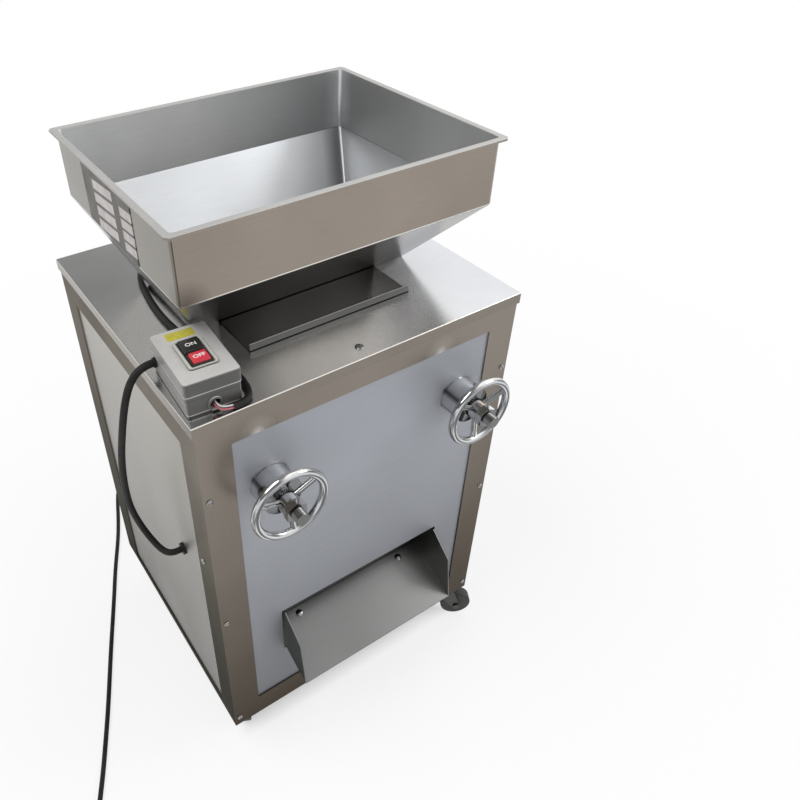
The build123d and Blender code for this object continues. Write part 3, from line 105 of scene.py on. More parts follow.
# Most of a noise texture's values lie between these
NOISE_RANGE = (0.3, 0.7)


class Shading:
    """A node tree with short calls for its nodes, which follow one kind of coordinates."""

    def __init__(self, tree, coordinates):
        self.tree = tree
        self.place = self.add("ShaderNodeTexCoord").outputs[coordinates]

    def add(self, kind, **inputs):
        """A new node with its inputs linked or set by name."""
        node = self.tree.nodes.new(kind)
        for name, value in inputs.items():
            self.put(value, node.inputs[name])
        return node

    def put(self, value, socket):
        """Link an output to a socket, or set the socket."""
        if isinstance(value, bpy.types.NodeSocket):
            self.tree.links.new(value, socket)
        else:
            socket.default_value = value

    def math(self, operation, first, second=0.0):
        """A number worked out from one or two others."""
        node = self.tree.nodes.new("ShaderNodeMath")
        node.operation = operation
        self.put(first, node.inputs[0])
        self.put(second, node.inputs[1])
        return node.outputs[0]

    def vector(self, operation, first, second=(0, 0, 0)):
        """Both outputs, Vector and Value, of an operation on one or two vectors."""
        node = self.tree.nodes.new("ShaderNodeVectorMath")
        node.operation = operation
        self.put(first, node.inputs[0])
        self.put(second, node.inputs[1])
        return node.outputs

    def axis(self, index):
        """One coordinate."""
        return self.add("ShaderNodeSeparateXYZ", Vector=self.place).outputs[index]

    def span(self, value, low, high, to_low=0.0, to_high=1.0):
        """A value from low to high turned into one from to_low to to_high, and held there."""
        node = self.add("ShaderNodeMapRange", Value=value)
        for number, limit in enumerate((low, high, to_low, to_high), 1):
            node.inputs[number].default_value = limit
        return node.outputs[0]

    def seen(self, mirrored=1.0):
        """1 for rays from the camera and through glass, and a share for those off metal."""
        path = self.add("ShaderNodeLightPath").outputs
        direct = self.math("MAXIMUM", path["Is Camera Ray"], path["Is Transmission Ray"])
        glossy = self.math("MULTIPLY", path["Is Glossy Ray"], mirrored)
        return self.math("MAXIMUM", direct, glossy)


class Finish(Shading):
    """A material, whose textures follow the frame's own coordinates in metres."""

    def __init__(self, name, colour, roughness, metallic=0.0):
        self.name = name
        self.colour = colour
        self.tone = 1.0
        self.material = bpy.data.materials.new(name)
        self.material.use_nodes = True
        super().__init__(self.material.node_tree, "Object")
        self.shader = self.tree.nodes["Principled BSDF"]
        self.set("Base Color", (*colour, 1))
        self.set("Roughness", roughness)
        self.set("Metallic", metallic)

    def set(self, name, value):
        """Link or set one of the shader's inputs."""
        self.put(value, self.shader.inputs[name])
        return self

    def paint(self, colour):
        """Give the surface a colour, varied by the finish's own tone."""
        return self.set("Base Color", self.shade(colour, self.tone))

    def bump(self, height, strength, distance):
        """Raise and sink the surface by a texture."""
        node = self.add("ShaderNodeBump", Height=height, Strength=strength, Distance=distance)
        return self.set("Normal", node.outputs[0])

    def noise(self, scale, stretch=(1, 1, 1), detail=3.0):
        """Noise from 0 to 1, finer along the axes with a larger stretch."""
        spread = self.add("ShaderNodeMapping", Vector=self.place, Scale=stretch).outputs[0]
        return self.add("ShaderNodeTexNoise", Vector=spread, Scale=scale, Detail=detail).outputs[0]

    def vary(self, noise, low, high):
        """Noise turned into a share from low to high."""
        return self.span(noise, *NOISE_RANGE, low, high)

    def normal(self):
        """The way the surface faces."""
        return self.add("ShaderNodeNewGeometry").outputs["Normal"]

    def facing(self, index):
        """How far the surface faces along one axis."""
        return self.add("ShaderNodeSeparateXYZ", Vector=self.normal()).outputs[index]

    def mix(self, share, first, second):
        """Two colours mixed by a share."""
        node = self.tree.nodes.new("ShaderNodeMix")
        node.data_type = "RGBA"
        self.put(share, node.inputs[0])
        for value, socket in ((first, node.inputs[6]), (second, node.inputs[7])):
            self.put((*value, 1) if isinstance(value, tuple) else value, socket)
        return node.outputs[2]

    def shade(self, colour, share):
        """A colour scaled by a share that varies over the surface."""
        scaled = self.vector("SCALE", colour)["Vector"]
        self.put(share, scaled.node.inputs["Scale"])
        return scaled

    def inside(self, centre):
        """1 on faces that look towards a point, 0 on the others."""
        ray = self.vector("SUBTRACT", self.place, centre)["Vector"]
        outwards = self.vector("DOT_PRODUCT", ray, self.normal())["Value"]
        return self.math("LESS_THAN", outwards, 0.0)

    def band(self, value, low, high, soft=0.0003):
        """1 where a value lies between low and high, 0 elsewhere."""
        rise = self.span(value, low - soft, low)
        return self.math("MULTIPLY", rise, self.span(value, high, high + soft, 1.0, 0.0))

    def spot(self, centre, radius):
        """1 at a point of the frame, falling to 0 at a radius."""
        gap = self.vector("DISTANCE", self.place, centre)["Value"]
        return self.span(gap, 0.0, radius, 1.0, 0.0)

    def from_line(self, start, along):
        """Distance in metres from a line through a point of the frame."""
        reach = self.vector("SUBTRACT", self.place, start)["Vector"]
        across = self.vector("CROSS_PRODUCT", reach, Vector(along).normalized())["Vector"]
        return self.vector("LENGTH", across)["Value"]


# Materials: stretch of the grain, along one axis
ALONG_X = (0.4, 30, 30)
ALONG_Y = (30, 0.4, 30)
ALONG_Z = (30, 30, 0.4)
GRAIN_SCALE = 60.0
GRAIN_DEPTH = 0.0002
CLOUD_SCALE = 5.0
# Roughness of the hopper's outside and inside
POLISH = (0.2, 0.42)
# Places of single marks
PALE_SPOTS = (at(-184, -247.5, 763), at(125, -247.5, 763))
LID_PAINTED_LIGHT = at(-40, -215, Z_LID)
HOPPER_MIDDLE = at(0, -3, 1100)
HOPPER_WELD = at(241, 183, 1000)
HOPPER_DARK_SPOT = at(-236, -193.5, 946)
CONE_WELD = at(244, 186, 945)
CONE_WELD_WAY = (-48.7, -96.5, -130)
# Heights between which a look begins or ends, in metres
FOOT_Z = 0.08
FOOT_TOP_Z = 0.74
RIM_Z = (1.0412, 1.0416)
SEAM_TOP_Z = (1.03, 1.034)
HOPPER_FOLD_Z = (0.9445, 0.9462)
GATE_LIP_Z = (0.8264, 0.827)
GATE_SHADOW_Z = (0.8163, 0.8168)
COVER_STEP_Z = (0.8466, 0.8482)
COVER_JOINT_Z = (0.8408, 0.8416)
BASE_EDGE_Z = (0.8186, 0.8196)
BASE_SHADOW_Z = (0.8176, 0.8182)
# Columns of fields on the plate: from, to, foot, top, pitch and height of a field, in metres
PLATE_COLUMNS = (
    (-0.017, 0.052, 0.9532, 1.0226, 0.0188, 0.0136),
    (-0.079, -0.04, 0.9496, 1.011, 0.0163, 0.0125),
)
PLATE_LEAN = 0.1


def sheet_steel(
    name, colour, roughness, grain, foot=1.0, foot_top=FOOT_TOP_Z, metallic=1.0, scratch=0.1
):
    """Rolled sheet: fine grain one way, clouds of handling marks, and, with a foot share under 1,
    painted shade that darkens it towards the foot.
    """
    f = Finish(name, colour, roughness, metallic)
    lines = f.noise(GRAIN_SCALE, grain, 4.0)
    clouds = f.noise(CLOUD_SCALE, detail=2.0)
    f.tone = f.math("MULTIPLY", f.vary(lines, 0.95, 1.05), f.vary(clouds, 0.92, 1.08))
    # Painted shade: the colour falls to the foot share low down
    if foot < 1:
        f.tone = f.math("MULTIPLY", f.tone, f.span(f.axis(Z), FOOT_Z, foot_top, foot, 1.0))
    f.paint(colour)
    f.set("Roughness", f.span(clouds, 0.25, 0.75, roughness * 0.85, roughness * 1.2))
    return f.bump(lines, scratch, GRAIN_DEPTH)


def frame_steel(grain):
    """Posts and rails, brownish as a painted reflection of a brown floor, with painted light towards
    the right, painted shade low and painted light high on their left faces, painted shade towards the
    foot, and two pale spots under the lid.
    """
    # Brownish: a painted reflection of a brown floor; the foot share gives painted shade towards the
    # foot
    f = sheet_steel("frame_steel", (0.25, 0.22, 0.19), 0.325, grain, 0.42)
    f.set("Specular Tint", (0.3, 0.295, 0.28, 1))
    # Painted light: paler towards the right
    colour = f.mix(f.span(f.axis(X), -0.15, 0.25), f.colour, (0.3, 0.268, 0.236))
    # Painted shade low and painted light high on faces that look left
    left = f.mix(f.span(f.axis(Z), 0.2, 0.66), (0.17, 0.17, 0.152), (0.38, 0.355, 0.32))
    colour = f.mix(f.span(f.facing(X), -0.5, -0.8), colour, left)
    # Two pale spots under the lid
    for centre in PALE_SPOTS:
        for radius, share in ((0.03, 0.25), (0.012, 0.75)):
            pale_spot = f.math("MULTIPLY", f.spot(centre, radius), share)
            colour = f.mix(pale_spot, colour, (0.8, 0.78, 0.72))
    return f.paint(colour)


def lid_steel(grain):
    """Bright lid, with a painted reflection that makes it bluer towards the right, a pool of painted
    light before the gate, a painted highlight along its bent edges, and its lips darkened to the
    frame's colour as painted shade.
    """
    f = sheet_steel("lid_steel", (0.78, 0.78, 0.77), 0.227, grain, scratch=0.006)
    up = f.facing(Z)
    # Painted reflection: bluer and a little darker towards the right
    top = f.mix(f.span(f.axis(X), 0.02, 0.2), f.colour, (0.72, 0.735, 0.76))
    # Painted light: a bright pool before the gate
    top = f.mix(f.spot(LID_PAINTED_LIGHT, 0.22), top, (0.98, 0.975, 0.96))
    # Painted shade: faces that do not look up take the frame's darker colour
    lip = f.mix(f.span(up, 0.93, 0.99), (0.225, 0.2, 0.172), top)
    # Painted highlight along the bent edges between top and lips
    fold = f.mix(f.band(up, 0.2, 0.93, 0.05), lip, (0.72, 0.7, 0.66))
    return f.paint(fold)


def hopper_steel(grain):
    """Hopper sheet: brownish outside as a painted reflection of a brown floor, with painted shade on
    its left face; greyer inside, with painted light and shade across its walls and paler along the
    rear-right corner; pale on its rim; a painted highlight along the fold above the cone, a dark seam
    and a dark spot at the front-left corner.
    """
    # Brownish: a painted reflection of a brown floor
    f = sheet_steel("hopper_steel", (0.285, 0.247, 0.213), POLISH[0], grain, scratch=0.03)
    across, height, sideways = f.axis(X), f.axis(Z), f.facing(X)
    inner = f.inside(HOPPER_MIDDLE)
    outer = f.math("SUBTRACT", 1.0, inner)
    # Inside walls: painted light at the left and painted shade towards the right, a painted highlight
    # at the left end, and painted shade on faces that look left
    wall = f.mix(f.span(across, -0.05, 0.17), (0.78, 0.78, 0.77), (0.41, 0.415, 0.415))
    wall = f.mix(f.span(across, -0.2, -0.235), wall, (0.86, 0.86, 0.86))
    wall = f.mix(f.span(sideways, -0.4, -0.8), wall, (0.42, 0.42, 0.415))
    # Paler along the rear-right inner corner
    weld = f.from_line(HOPPER_WELD, (0, 0, 1))
    bare = f.mix(f.span(weld, 0.004, 0.03, 0.5, 0.0), wall, (0.8, 0.81, 0.83))
    bare = f.mix(f.span(weld, 0.001, 0.004, 0.8, 0.0), bare, (0.9, 0.9, 0.9))
    # Painted shade on outer faces that look left
    skin = f.mix(f.span(sideways, -0.6, -0.9), f.colour, (0.205, 0.19, 0.16))
    rim = f.span(height, *RIM_Z)
    colour = f.mix(rim, f.mix(inner, skin, bare), (0.5, 0.495, 0.48))
    # Painted highlight along the fold above the cone
    fold = f.math("MULTIPLY", f.band(height, *HOPPER_FOLD_Z, 0.001), outer)
    colour = f.mix(fold, colour, (0.8, 0.78, 0.74))
    corner = f.band(sideways, -0.75, -0.62, 0.03)
    corner = f.math("MULTIPLY", corner, f.span(f.facing(Y), -0.3, -0.4))
    seam = f.math("MULTIPLY", corner, f.span(height, *SEAM_TOP_Z, 0.8, 0.0))
    colour = f.mix(f.math("MULTIPLY", seam, outer), colour, (0.05, 0.042, 0.035))
    # A dark spot at the foot of the front-left corner
    dark_spot = f.math("MULTIPLY", f.spot(HOPPER_DARK_SPOT, 0.035), outer)
    colour = f.mix(f.math("MULTIPLY", dark_spot, 0.8), colour, (0.07, 0.055, 0.042))
    f.paint(colour)
    f.set("Roughness", f.span(inner, 0.0, 1.0, *POLISH))
    return f.set("Metallic", f.span(rim, 0.0, 1.0, 1.0, 0.3))


def cone_steel(grain):
    """Cone sheet: pale inside, darker along its rear-right corner with a paler line down it, and
    painted shade on inner faces that look left; outside, painted shade in front, darkest towards the
    ends, and a painted reflection on its right face; smoother outside than in.
    """
    f = sheet_steel("cone_steel", (0.4, 0.39, 0.375), POLISH[0], grain, scratch=0.03)
    inner, sideways = f.inside(HOPPER_MIDDLE), f.facing(X)
    # Darker along the rear-right inner corner, with a paler line down it
    weld = f.from_line(CONE_WELD, CONE_WELD_WAY)
    bare = f.mix(f.span(weld, 0.012, 0.038, 1.0, 0.0), (0.63, 0.645, 0.66), (0.28, 0.28, 0.295))
    bare = f.mix(f.span(weld, 0.0008, 0.0025, 0.7, 0.0), bare, (0.5, 0.5, 0.52))
    # Painted shade on inner faces that look left
    bare = f.mix(f.span(sideways, -0.2, -0.4), bare, (0.38, 0.385, 0.39))
    # Painted shade on the front, darkest towards its ends
    away = f.math("ABSOLUTE", f.axis(X))
    shaded = f.mix(f.span(away, 0.08, 0.14), (0.36, 0.345, 0.33), (0.19, 0.183, 0.176))
    # Painted reflection: pale on outer faces that look right
    side = f.mix(f.span(sideways, 0.2, 0.5), f.colour, (0.75, 0.745, 0.735))
    front = f.mix(f.span(f.facing(Y), -0.3, -0.5), side, shaded)
    f.paint(f.mix(inner, front, bare))
    return f.set("Roughness", f.span(inner, 0.0, 1.0, *POLISH))


def gate_steel(grain):
    """Sliding plate, with painted shade towards the right and on its front faces, a painted highlight
    along the top edge of its lip, and a painted shadow along its foot.
    """
    f = sheet_steel("gate_steel", (0.34, 0.335, 0.33), 0.2, grain)
    height = f.axis(Z)
    # Painted shade: darker towards the right and on faces that look forwards
    colour = f.mix(f.span(f.axis(X), 0.06, 0.12), f.colour, (0.2, 0.198, 0.193))
    colour = f.mix(f.span(f.facing(Y), -0.3, -0.6), colour, (0.11, 0.109, 0.107))
    # Painted highlight along the top edge of the lip
    colour = f.mix(f.span(height, *GATE_LIP_Z), colour, (0.5, 0.49, 0.48))
    # Painted shadow: a dark line along the plate's foot
    colour = f.mix(f.span(height, *GATE_SHADOW_Z, 1.0, 0.0), colour, (0.012, 0.012, 0.012))
    return f.paint(colour)


def tray_steel(grain):
    """Outlet tray, with painted light that makes its cheeks paler than its floor."""
    f = sheet_steel("tray_steel", (0.21, 0.21, 0.208), 0.33, grain)
    f.set("Specular Tint", (0.5, 0.5, 0.5, 1))
    # Painted light on the cheeks
    cheek = f.span(f.math("ABSOLUTE", f.facing(X)), 0.5, 0.8)
    return f.paint(f.mix(cheek, f.colour, (0.27, 0.275, 0.26)))


def chrome():
    """Bright plating with a painted reflection of a room, banded over rounded metal, and a painted
    highlight on faces that look up.
    """
    f = Finish("bright_chrome", (0.62, 0.625, 0.635), 0.09, 1.0)
    # Painted reflection: bands set by the way the surface faces
    painted_reflection = f.add("ShaderNodeTexNoise", Vector=f.normal(), Scale=2.6, Detail=1.5).outputs[0]
    colour = f.mix(f.span(painted_reflection, 0.4, 0.6), (0.13, 0.132, 0.136), f.colour)
    # Painted highlight on faces that look up
    colour = f.mix(f.span(f.facing(Z), 0.6, 0.9), colour, (0.8, 0.8, 0.8))
    f.tone = f.vary(f.noise(40.0), 0.9, 1.1)
    f.paint(colour)
    return f.set("Roughness", f.vary(f.noise(25.0), 0.07, 0.13))


def blank_plate():
    """Printed plate with two columns of empty fields, fixed a little out of level."""
    f = Finish("plate_print", (0.062, 0.052, 0.043), 0.42)
    y = f.math("SUBTRACT", f.axis(Y), SHIFT.y)
    level = f.math("ADD", f.axis(Z), f.math("MULTIPLY", y, PLATE_LEAN))
    fields = []
    for y0, y1, foot, top, pitch, tall in PLATE_COLUMNS:
        column = f.math("MULTIPLY", f.band(y, y0, y1), f.band(level, foot, top))
        row = f.math("FLOORED_MODULO", f.math("SUBTRACT", level, foot), pitch)
        fields.append(f.math("MULTIPLY", column, f.math("LESS_THAN", row, tall)))
    f.tone = f.vary(f.noise(90.0), 0.85, 1.15)
    f.paint(f.mix(f.math("MAXIMUM", *fields), f.colour, (0.46, 0.43, 0.42)))
    return f.set("Roughness", f.vary(f.noise(25.0), 0.35, 0.5))


def cast_iron():
    """Rough grey casting, pitted and unevenly grimy."""
    f = Finish("cast", (0.16, 0.165, 0.17), 0.6, 0.6)
    pits = f.noise(260.0, detail=5.0)
    f.tone = f.vary(f.noise(14.0), 0.7, 1.25)
    f.paint(f.colour)
    f.set("Roughness", f.vary(pits, 0.5, 0.72))
    return f.bump(pits, 0.35, 0.0006)


def enamel(name, colour, roughness, paler_colour):
    """Stoved paint with a slight orange peel, paler on faces that look up."""
    f = Finish(name, colour, roughness)
    peel = f.noise(420.0, detail=2.0)
    f.tone = f.vary(f.noise(30.0), 0.93, 1.07)
    f.paint(f.mix(f.span(f.facing(Z), 0.5, 0.95), colour, paler_colour))
    f.set("Roughness", f.vary(peel, roughness * 0.9, roughness * 1.15))
    return f.bump(peel, 0.08, 0.0003)


def switch_enamel():
    """Grey enamel of the switch box, with painted light on its top and painted shade in front,
    painted highlights at the cover's step and the base's lower edge, the cover's dark joint, and a
    painted shadow at its foot.
    """
    # Painted light: the colour of faces that look up
    top = (0.54, 0.535, 0.52)
    f = enamel("switch_grey", (0.23, 0.225, 0.215), 0.4, top)
    height = f.axis(Z)
    # Painted shade on faces that look forwards
    side = f.mix(f.span(f.facing(Y), -0.4, -0.9), f.colour, (0.09, 0.089, 0.085))
    colour = f.mix(f.span(f.facing(Z), 0.4, 0.95), side, top)
    # Painted highlight at the cover's step
    colour = f.mix(f.band(height, *COVER_STEP_Z, 0.0006), colour, (0.5, 0.49, 0.47))
    colour = f.mix(f.band(height, *COVER_JOINT_Z, 0.0004), colour, (0.06, 0.058, 0.054))
    # Painted highlight along the base's lower edge
    colour = f.mix(f.band(height, *BASE_EDGE_Z, 0.0005), colour, (0.48, 0.47, 0.45))
    # Painted shadow at the foot
    colour = f.mix(f.span(height, *BASE_SHADOW_Z, 1.0, 0.0), colour, (0.018, 0.018, 0.017))
    return f.paint(colour)


def moulded(name, colour, roughness):
    """Moulded plastic with a fine texture and slight wear."""
    f = Finish(name, colour, roughness)
    grain = f.noise(900.0, detail=2.0)
    f.tone = f.vary(f.noise(160.0), 0.88, 1.12)
    f.paint(colour)
    f.set("Roughness", f.vary(grain, roughness * 0.85, roughness * 1.2))
    return f.bump(grain, 0.06, 0.0002)


def raised_frame():
    """Pale moulded frame whose sides are in shade."""
    f = moulded("bezel_white", (0.57, 0.58, 0.52), 0.32)
    up = f.span(f.facing(Z), 0.3, 0.9)
    return f.set("Base Color", f.mix(up, (0.1, 0.105, 0.085), f.colour))


def rubber(name, colour, roughness, paler_colour):
    """Black rubber, dusty in patches."""
    f = Finish(name, colour, roughness)
    grain = f.noise(700.0)
    patches = f.span(f.noise(45.0, detail=4.0), 0.45, 0.75)
    f.set("Base Color", f.mix(f.math("MULTIPLY", patches, 0.6), colour, paler_colour))
    f.set("Roughness", f.vary(grain, roughness * 0.85, roughness * 1.15))
    return f.bump(grain, 0.15, 0.0003)


def lead_rubber():
    """Clean, dull rubber of the leads and the plug."""
    f = rubber("lead_rubber", (0.01, 0.0095, 0.009), 0.6, (0.024, 0.022, 0.02))
    return f.set("Specular IOR Level", 0.3)


def make_finishes():
    """Finishes by name: one for each of the record's slots, and some for single pieces."""
    black = (0.02, 0.019, 0.018)
    made = (
        frame_steel(ALONG_Z),
        lid_steel(ALONG_X),
        hopper_steel(ALONG_X),
        cone_steel(ALONG_X),
        gate_steel(ALONG_X),
        tray_steel(ALONG_X),
        sheet_steel("throat_steel", (0.34, 0.34, 0.335), 0.5, ALONG_X),
        # Nearly black: painted shade inside the cabinet
        sheet_steel("chute_steel", (0.06, 0.06, 0.058), 0.5, ALONG_X),
        # Film and side panels: painted shade towards the foot
        sheet_steel("film_panel", (0.37, 0.385, 0.42), 0.5, ALONG_X, 0.42, 0.6, 0.5),
        sheet_steel("side_steel", (0.41, 0.393, 0.36), 0.38, ALONG_Z, 0.33),
        sheet_steel("inner_steel", (0.45, 0.45, 0.44), 0.35, ALONG_X),
        chrome(),
        sheet_steel("thread_zinc", (0.17, 0.17, 0.165), 0.25, ALONG_X),
        sheet_steel("screw_steel", (0.3, 0.295, 0.29), 0.14, ALONG_Y),
        sheet_steel("caster_steel", (0.075, 0.075, 0.072), 0.3, ALONG_Z),
        sheet_steel("pin_brass", (0.75, 0.58, 0.26), 0.25, ALONG_X),
        blank_plate(),
        cast_iron(),
        enamel("motor_paint", (0.09, 0.13, 0.17), 0.4, (0.2, 0.22, 0.23)),
        rubber("belt_rubber", black, 0.7, (0.09, 0.085, 0.08)),
        rubber("wheel_rubber", black, 0.55, (0.06, 0.057, 0.053)),
        lead_rubber(),
        switch_enamel(),
        raised_frame(),
        moulded("button_black", (0.022, 0.022, 0.021), 0.38),
        moulded("button_red", (0.66, 0.045, 0.07), 0.32),
        moulded("lettering", (0.86, 0.85, 0.83), 0.5),
        moulded("strip_yellow", (0.56, 0.5, 0.06), 0.4),
        moulded("core_plastic", (0.5, 0.13, 0.17), 0.35),
        moulded("core_dark", (0.03, 0.03, 0.032), 0.35),
        moulded("core_pale", (0.6, 0.58, 0.56), 0.3),
    )
    return {finish.name: finish for finish in made}


finishes = make_finishes()

# Nodes that look unlike the rest of their slot
OWN_FINISH = {
    "hopper_cone": "cone_steel",
    "throat_insert": "throat_steel",
    "feed_gate": "gate_steel",
    "outlet_tray": "tray_steel",
    "inner_chute": "chute_steel",
    "adjusting_rods": "thread_zinc",
}
# Nodes whose edges show soft in the photo, with the width of the rounding
SOFT_EDGES = {
    "hopper_box": 0.0008,
    "feed_gate": 0.0006,
    "outlet_tray": 0.0006,
    "switch_base": 0.0008,
}
WELD_GAP = 0.00001
SOFT_ANGLE = math.radians(40)
SOFT_SEGMENTS = 2


def finish_nodes():
    """Give each node of the model its material."""
    for subpart in frame["record"]["subparts"]:
        node = subpart["node"]
        finish = finishes[OWN_FINISH.get(node, subpart["material_slot"])]
        for place in nodes[node].material_slots:
            place.material = finish.material


def soften_edges(node, width):
    """Round a node's sharp edges a little."""
    weld = nodes[node].modifiers.new("weld", "WELD")
    weld.merge_threshold = WELD_GAP
    bevel = nodes[node].modifiers.new("soft_edges", "BEVEL")
    bevel.width = width
    bevel.segments = SOFT_SEGMENTS
    bevel.limit_method = "ANGLE"
    bevel.angle_limit = SOFT_ANGLE


finish_nodes()
for soft_node, soft_width in SOFT_EDGES.items():
    soften_edges(soft_node, soft_width)

# Pieces built from rings of points, in millimetres
CORNERS = ((1, 1), (-1, 1), (-1, -1), (1, -1))
SHARP_ANGLE = math.radians(35)


def outline(x0, x1, y0, y1, corner, z, steps=5):
    """Ring of points round a rectangle with round corners."""
    ring = []
    for number, (side_x, side_y) in enumerate(CORNERS):
        x = (x1 if side_x > 0 else x0) - side_x * corner
        y = (y1 if side_y > 0 else y0) - side_y * corner
        for step in range(steps + 1):
            angle = math.radians(90 * (number + step / steps))
            ring.append((x + corner * math.cos(angle), y + corner * math.sin(angle), z))
    return ring


def stepped(x0, x1, y0, y1, corner, profile):
    """Rings of one rectangle, drawn in by an inset at each of the profile's heights."""
    return [
        outline(x0 + inset, x1 - inset, y0 + inset, y1 - inset, corner, z)
        for inset, z in profile
    ]


def circle(radius, z, count=24):
    """Ring of points round the z axis."""
    angles = [2 * math.pi * (number + 0.5) / count for number in range(count)]
    return [(radius * math.cos(angle), radius * math.sin(angle), z) for angle in angles]


def turned(profile, count=24):
    """Rings of a turned shape, from its radii and heights."""
    return [circle(radius, z, count) for radius, z in profile]


class Build:
    """A mesh made of stacked rings, placed by a matrix, with one material for each stack."""

    def __init__(self, *used):
        self.mesh = bmesh.new()
        self.used = used

    def stack(self, rings, place, material=0, closed=False):
        """Skin consecutive rings; closed joins the last to the first, and else both are filled."""
        layers = [[self.mesh.verts.new(place @ Vector(point)) for point in ring] for ring in rings]
        count = len(layers[0])
        pairs = list(zip(layers, layers[1:]))
        if closed:
            pairs.append((layers[-1], layers[0]))
        faces = []
        for lower, upper in pairs:
            for here in range(count):
                after = (here + 1) % count
                corners = (lower[here], lower[after], upper[after], upper[here])
                faces.append(self.mesh.faces.new(corners))
        if not closed:
            faces.append(self.mesh.faces.new(layers[0][::-1]))
            faces.append(self.mesh.faces.new(layers[-1]))
        for face in faces:
            face.material_index = material
            face.smooth = True

    def piece(self, name, body, slot, *replaced):
        """The finished piece, riding on a body."""
        bmesh.ops.recalc_face_normals(self.mesh, faces=self.mesh.faces)
        data = bpy.data.meshes.new(name)
        self.mesh.to_mesh(data)
        self.mesh.free()
        data.set_sharp_from_angle(angle=SHARP_ANGLE)
        for finish in self.used:
            data.materials.append(finishes[finish].material)
        made = add_object(name, data)
        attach(made, body)
        if replaced:
            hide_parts(*replaced)
        return made


# Switch: sizes from the middle of the box, across and along it, heights from the lid
SWITCH = Matrix.Translation(at(-228.0, -175.5, Z_LID))
SWITCH @= Matrix.Rotation(math.radians(-4.0), 4, "Z") @ MILLIMETRES
COVER_TOP = 53
WELL = (-15.2, 15.2, -33.9, 22.7)
FRAME_RINGS = (
    (-20, 20, -37, 25, 5, COVER_TOP),
    (-20, 20, -37, 25, 5, 54.8),
    (-19, 19, -36, 24, 4.4, 56),
    (-16.4, 16.4, -34.9, 23.5, 2, 56),
    (*WELL, 1.2, 55),
    (*WELL, 1.2, COVER_TOP),
)
SURROUND_TOP = 54.6
SURROUND_T = 0.7
SURROUND_CORNER = 0.8
HOLE_CORNER = 0.6
BUTTON_FIT = 0.3
BUTTON_X = (-13.5, 13.5)
ON_Y = (-6, 22)
OFF_Y = (-33, -8)
CAP_CORNER = 1.6
RED_CORNER = 1.4
STRIP = (-21, 17, 34, 51)
STRIP_CORNER = 1.5
# Insets and heights of the caps, of the red cap's black collar and of the strip
CAP_FOOT = 44
ON_PROFILE = ((0, CAP_FOOT), (0, 57.6), (0.4, 58.5), (1.3, 59))
OFF_PROFILE = ((2.2, 56.8), (2.2, 58.8), (2.6, 59.6), (3.5, 60))
COLLAR_PROFILE = ((0, CAP_FOOT), (0, 56.4), (0.4, 57))
STRIP_PROFILE = ((0, COVER_TOP), (0, 53.25), (0.3, 53.4))
LETTER_SIZE = 9.5
LETTER_WEIGHT = 0.16
LETTER_DEPTH = 0.08
LETTER_LIFT = 0.02


def make_switch_frame():
    """Pale frame on the cover, and inside it for each button a black surround that stands for the
    shade in the recess round the button.
    """
    well_x0, well_x1, well_y0, well_y1 = WELL
    x0, x1 = BUTTON_X[0] - BUTTON_FIT, BUTTON_X[1] + BUTTON_FIT
    build = Build("bezel_white", "button_black")
    build.stack([outline(*ring) for ring in FRAME_RINGS], SWITCH, closed=True)
    for button_y0, button_y1 in (OFF_Y, ON_Y):
        y0, y1 = button_y0 - BUTTON_FIT, button_y1 + BUTTON_FIT
        outer_y0, outer_y1 = max(y0 - SURROUND_T, well_y0), min(y1 + SURROUND_T, well_y1)
        inner = (x0, x1, y0, y1, HOLE_CORNER)
        outer = (well_x0, well_x1, outer_y0, outer_y1, SURROUND_CORNER)
        rings = [
            outline(*outer, COVER_TOP),
            outline(*outer, SURROUND_TOP),
            outline(*inner, SURROUND_TOP),
            outline(*inner, COVER_TOP),
        ]
        # Black surround: painted shade of the recess round the button
        build.stack(rings, SWITCH, 1, closed=True)
    build.piece("switch_frame", "cabinet", "bezel_white", "switch_bezel")


def make_caps():
    """The black on cap, and the red off cap on a black collar that stands for the shade in the recess
    round it.
    """
    on_cap = Build("button_black")
    on_cap.stack(stepped(*BUTTON_X, *ON_Y, CAP_CORNER, ON_PROFILE), SWITCH)
    on_cap.piece("on_cap", "on_button", "button_black", "on_button")
    off_cap = Build("button_black", "button_red")
    # Black collar: painted shade of the recess round the red cap
    off_cap.stack(stepped(*BUTTON_X, *OFF_Y, CAP_CORNER, COLLAR_PROFILE), SWITCH)
    off_cap.stack(stepped(*BUTTON_X, *OFF_Y, RED_CORNER, OFF_PROFILE), SWITCH, 1)
    off_cap.piece("off_cap", "off_button", "button_red", "off_button")


def make_strip():
    """Blank strip on the cover."""
    strip = Build("strip_yellow")
    strip.stack(stepped(*STRIP, STRIP_CORNER, STRIP_PROFILE), SWITCH)
    strip.piece("blank_strip", "cabinet", "bezel_white")


def make_letters(word, span, profile, body):
    """A word on the middle of a cap's top."""
    data = bpy.data.curves.new(f"{word.lower()}_letters", "FONT")
    data.body = word
    data.align_x = "CENTER"
    data.align_y = "CENTER"
    data.size = LETTER_SIZE
    data.offset = LETTER_WEIGHT
    data.extrude = LETTER_DEPTH
    data.materials.append(finishes["lettering"].material)
    letters = add_object(data.name, data)
    top = profile[-1][1] + LETTER_LIFT
    letters.matrix_world = SWITCH @ Matrix.Translation((0, sum(span) / 2, top))
    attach(letters, body)


make_switch_frame()
make_caps()
make_strip()
make_letters("ON", ON_Y, ON_PROFILE, "on_button")
make_letters("OFF", OFF_Y, OFF_PROFILE, "off_button")

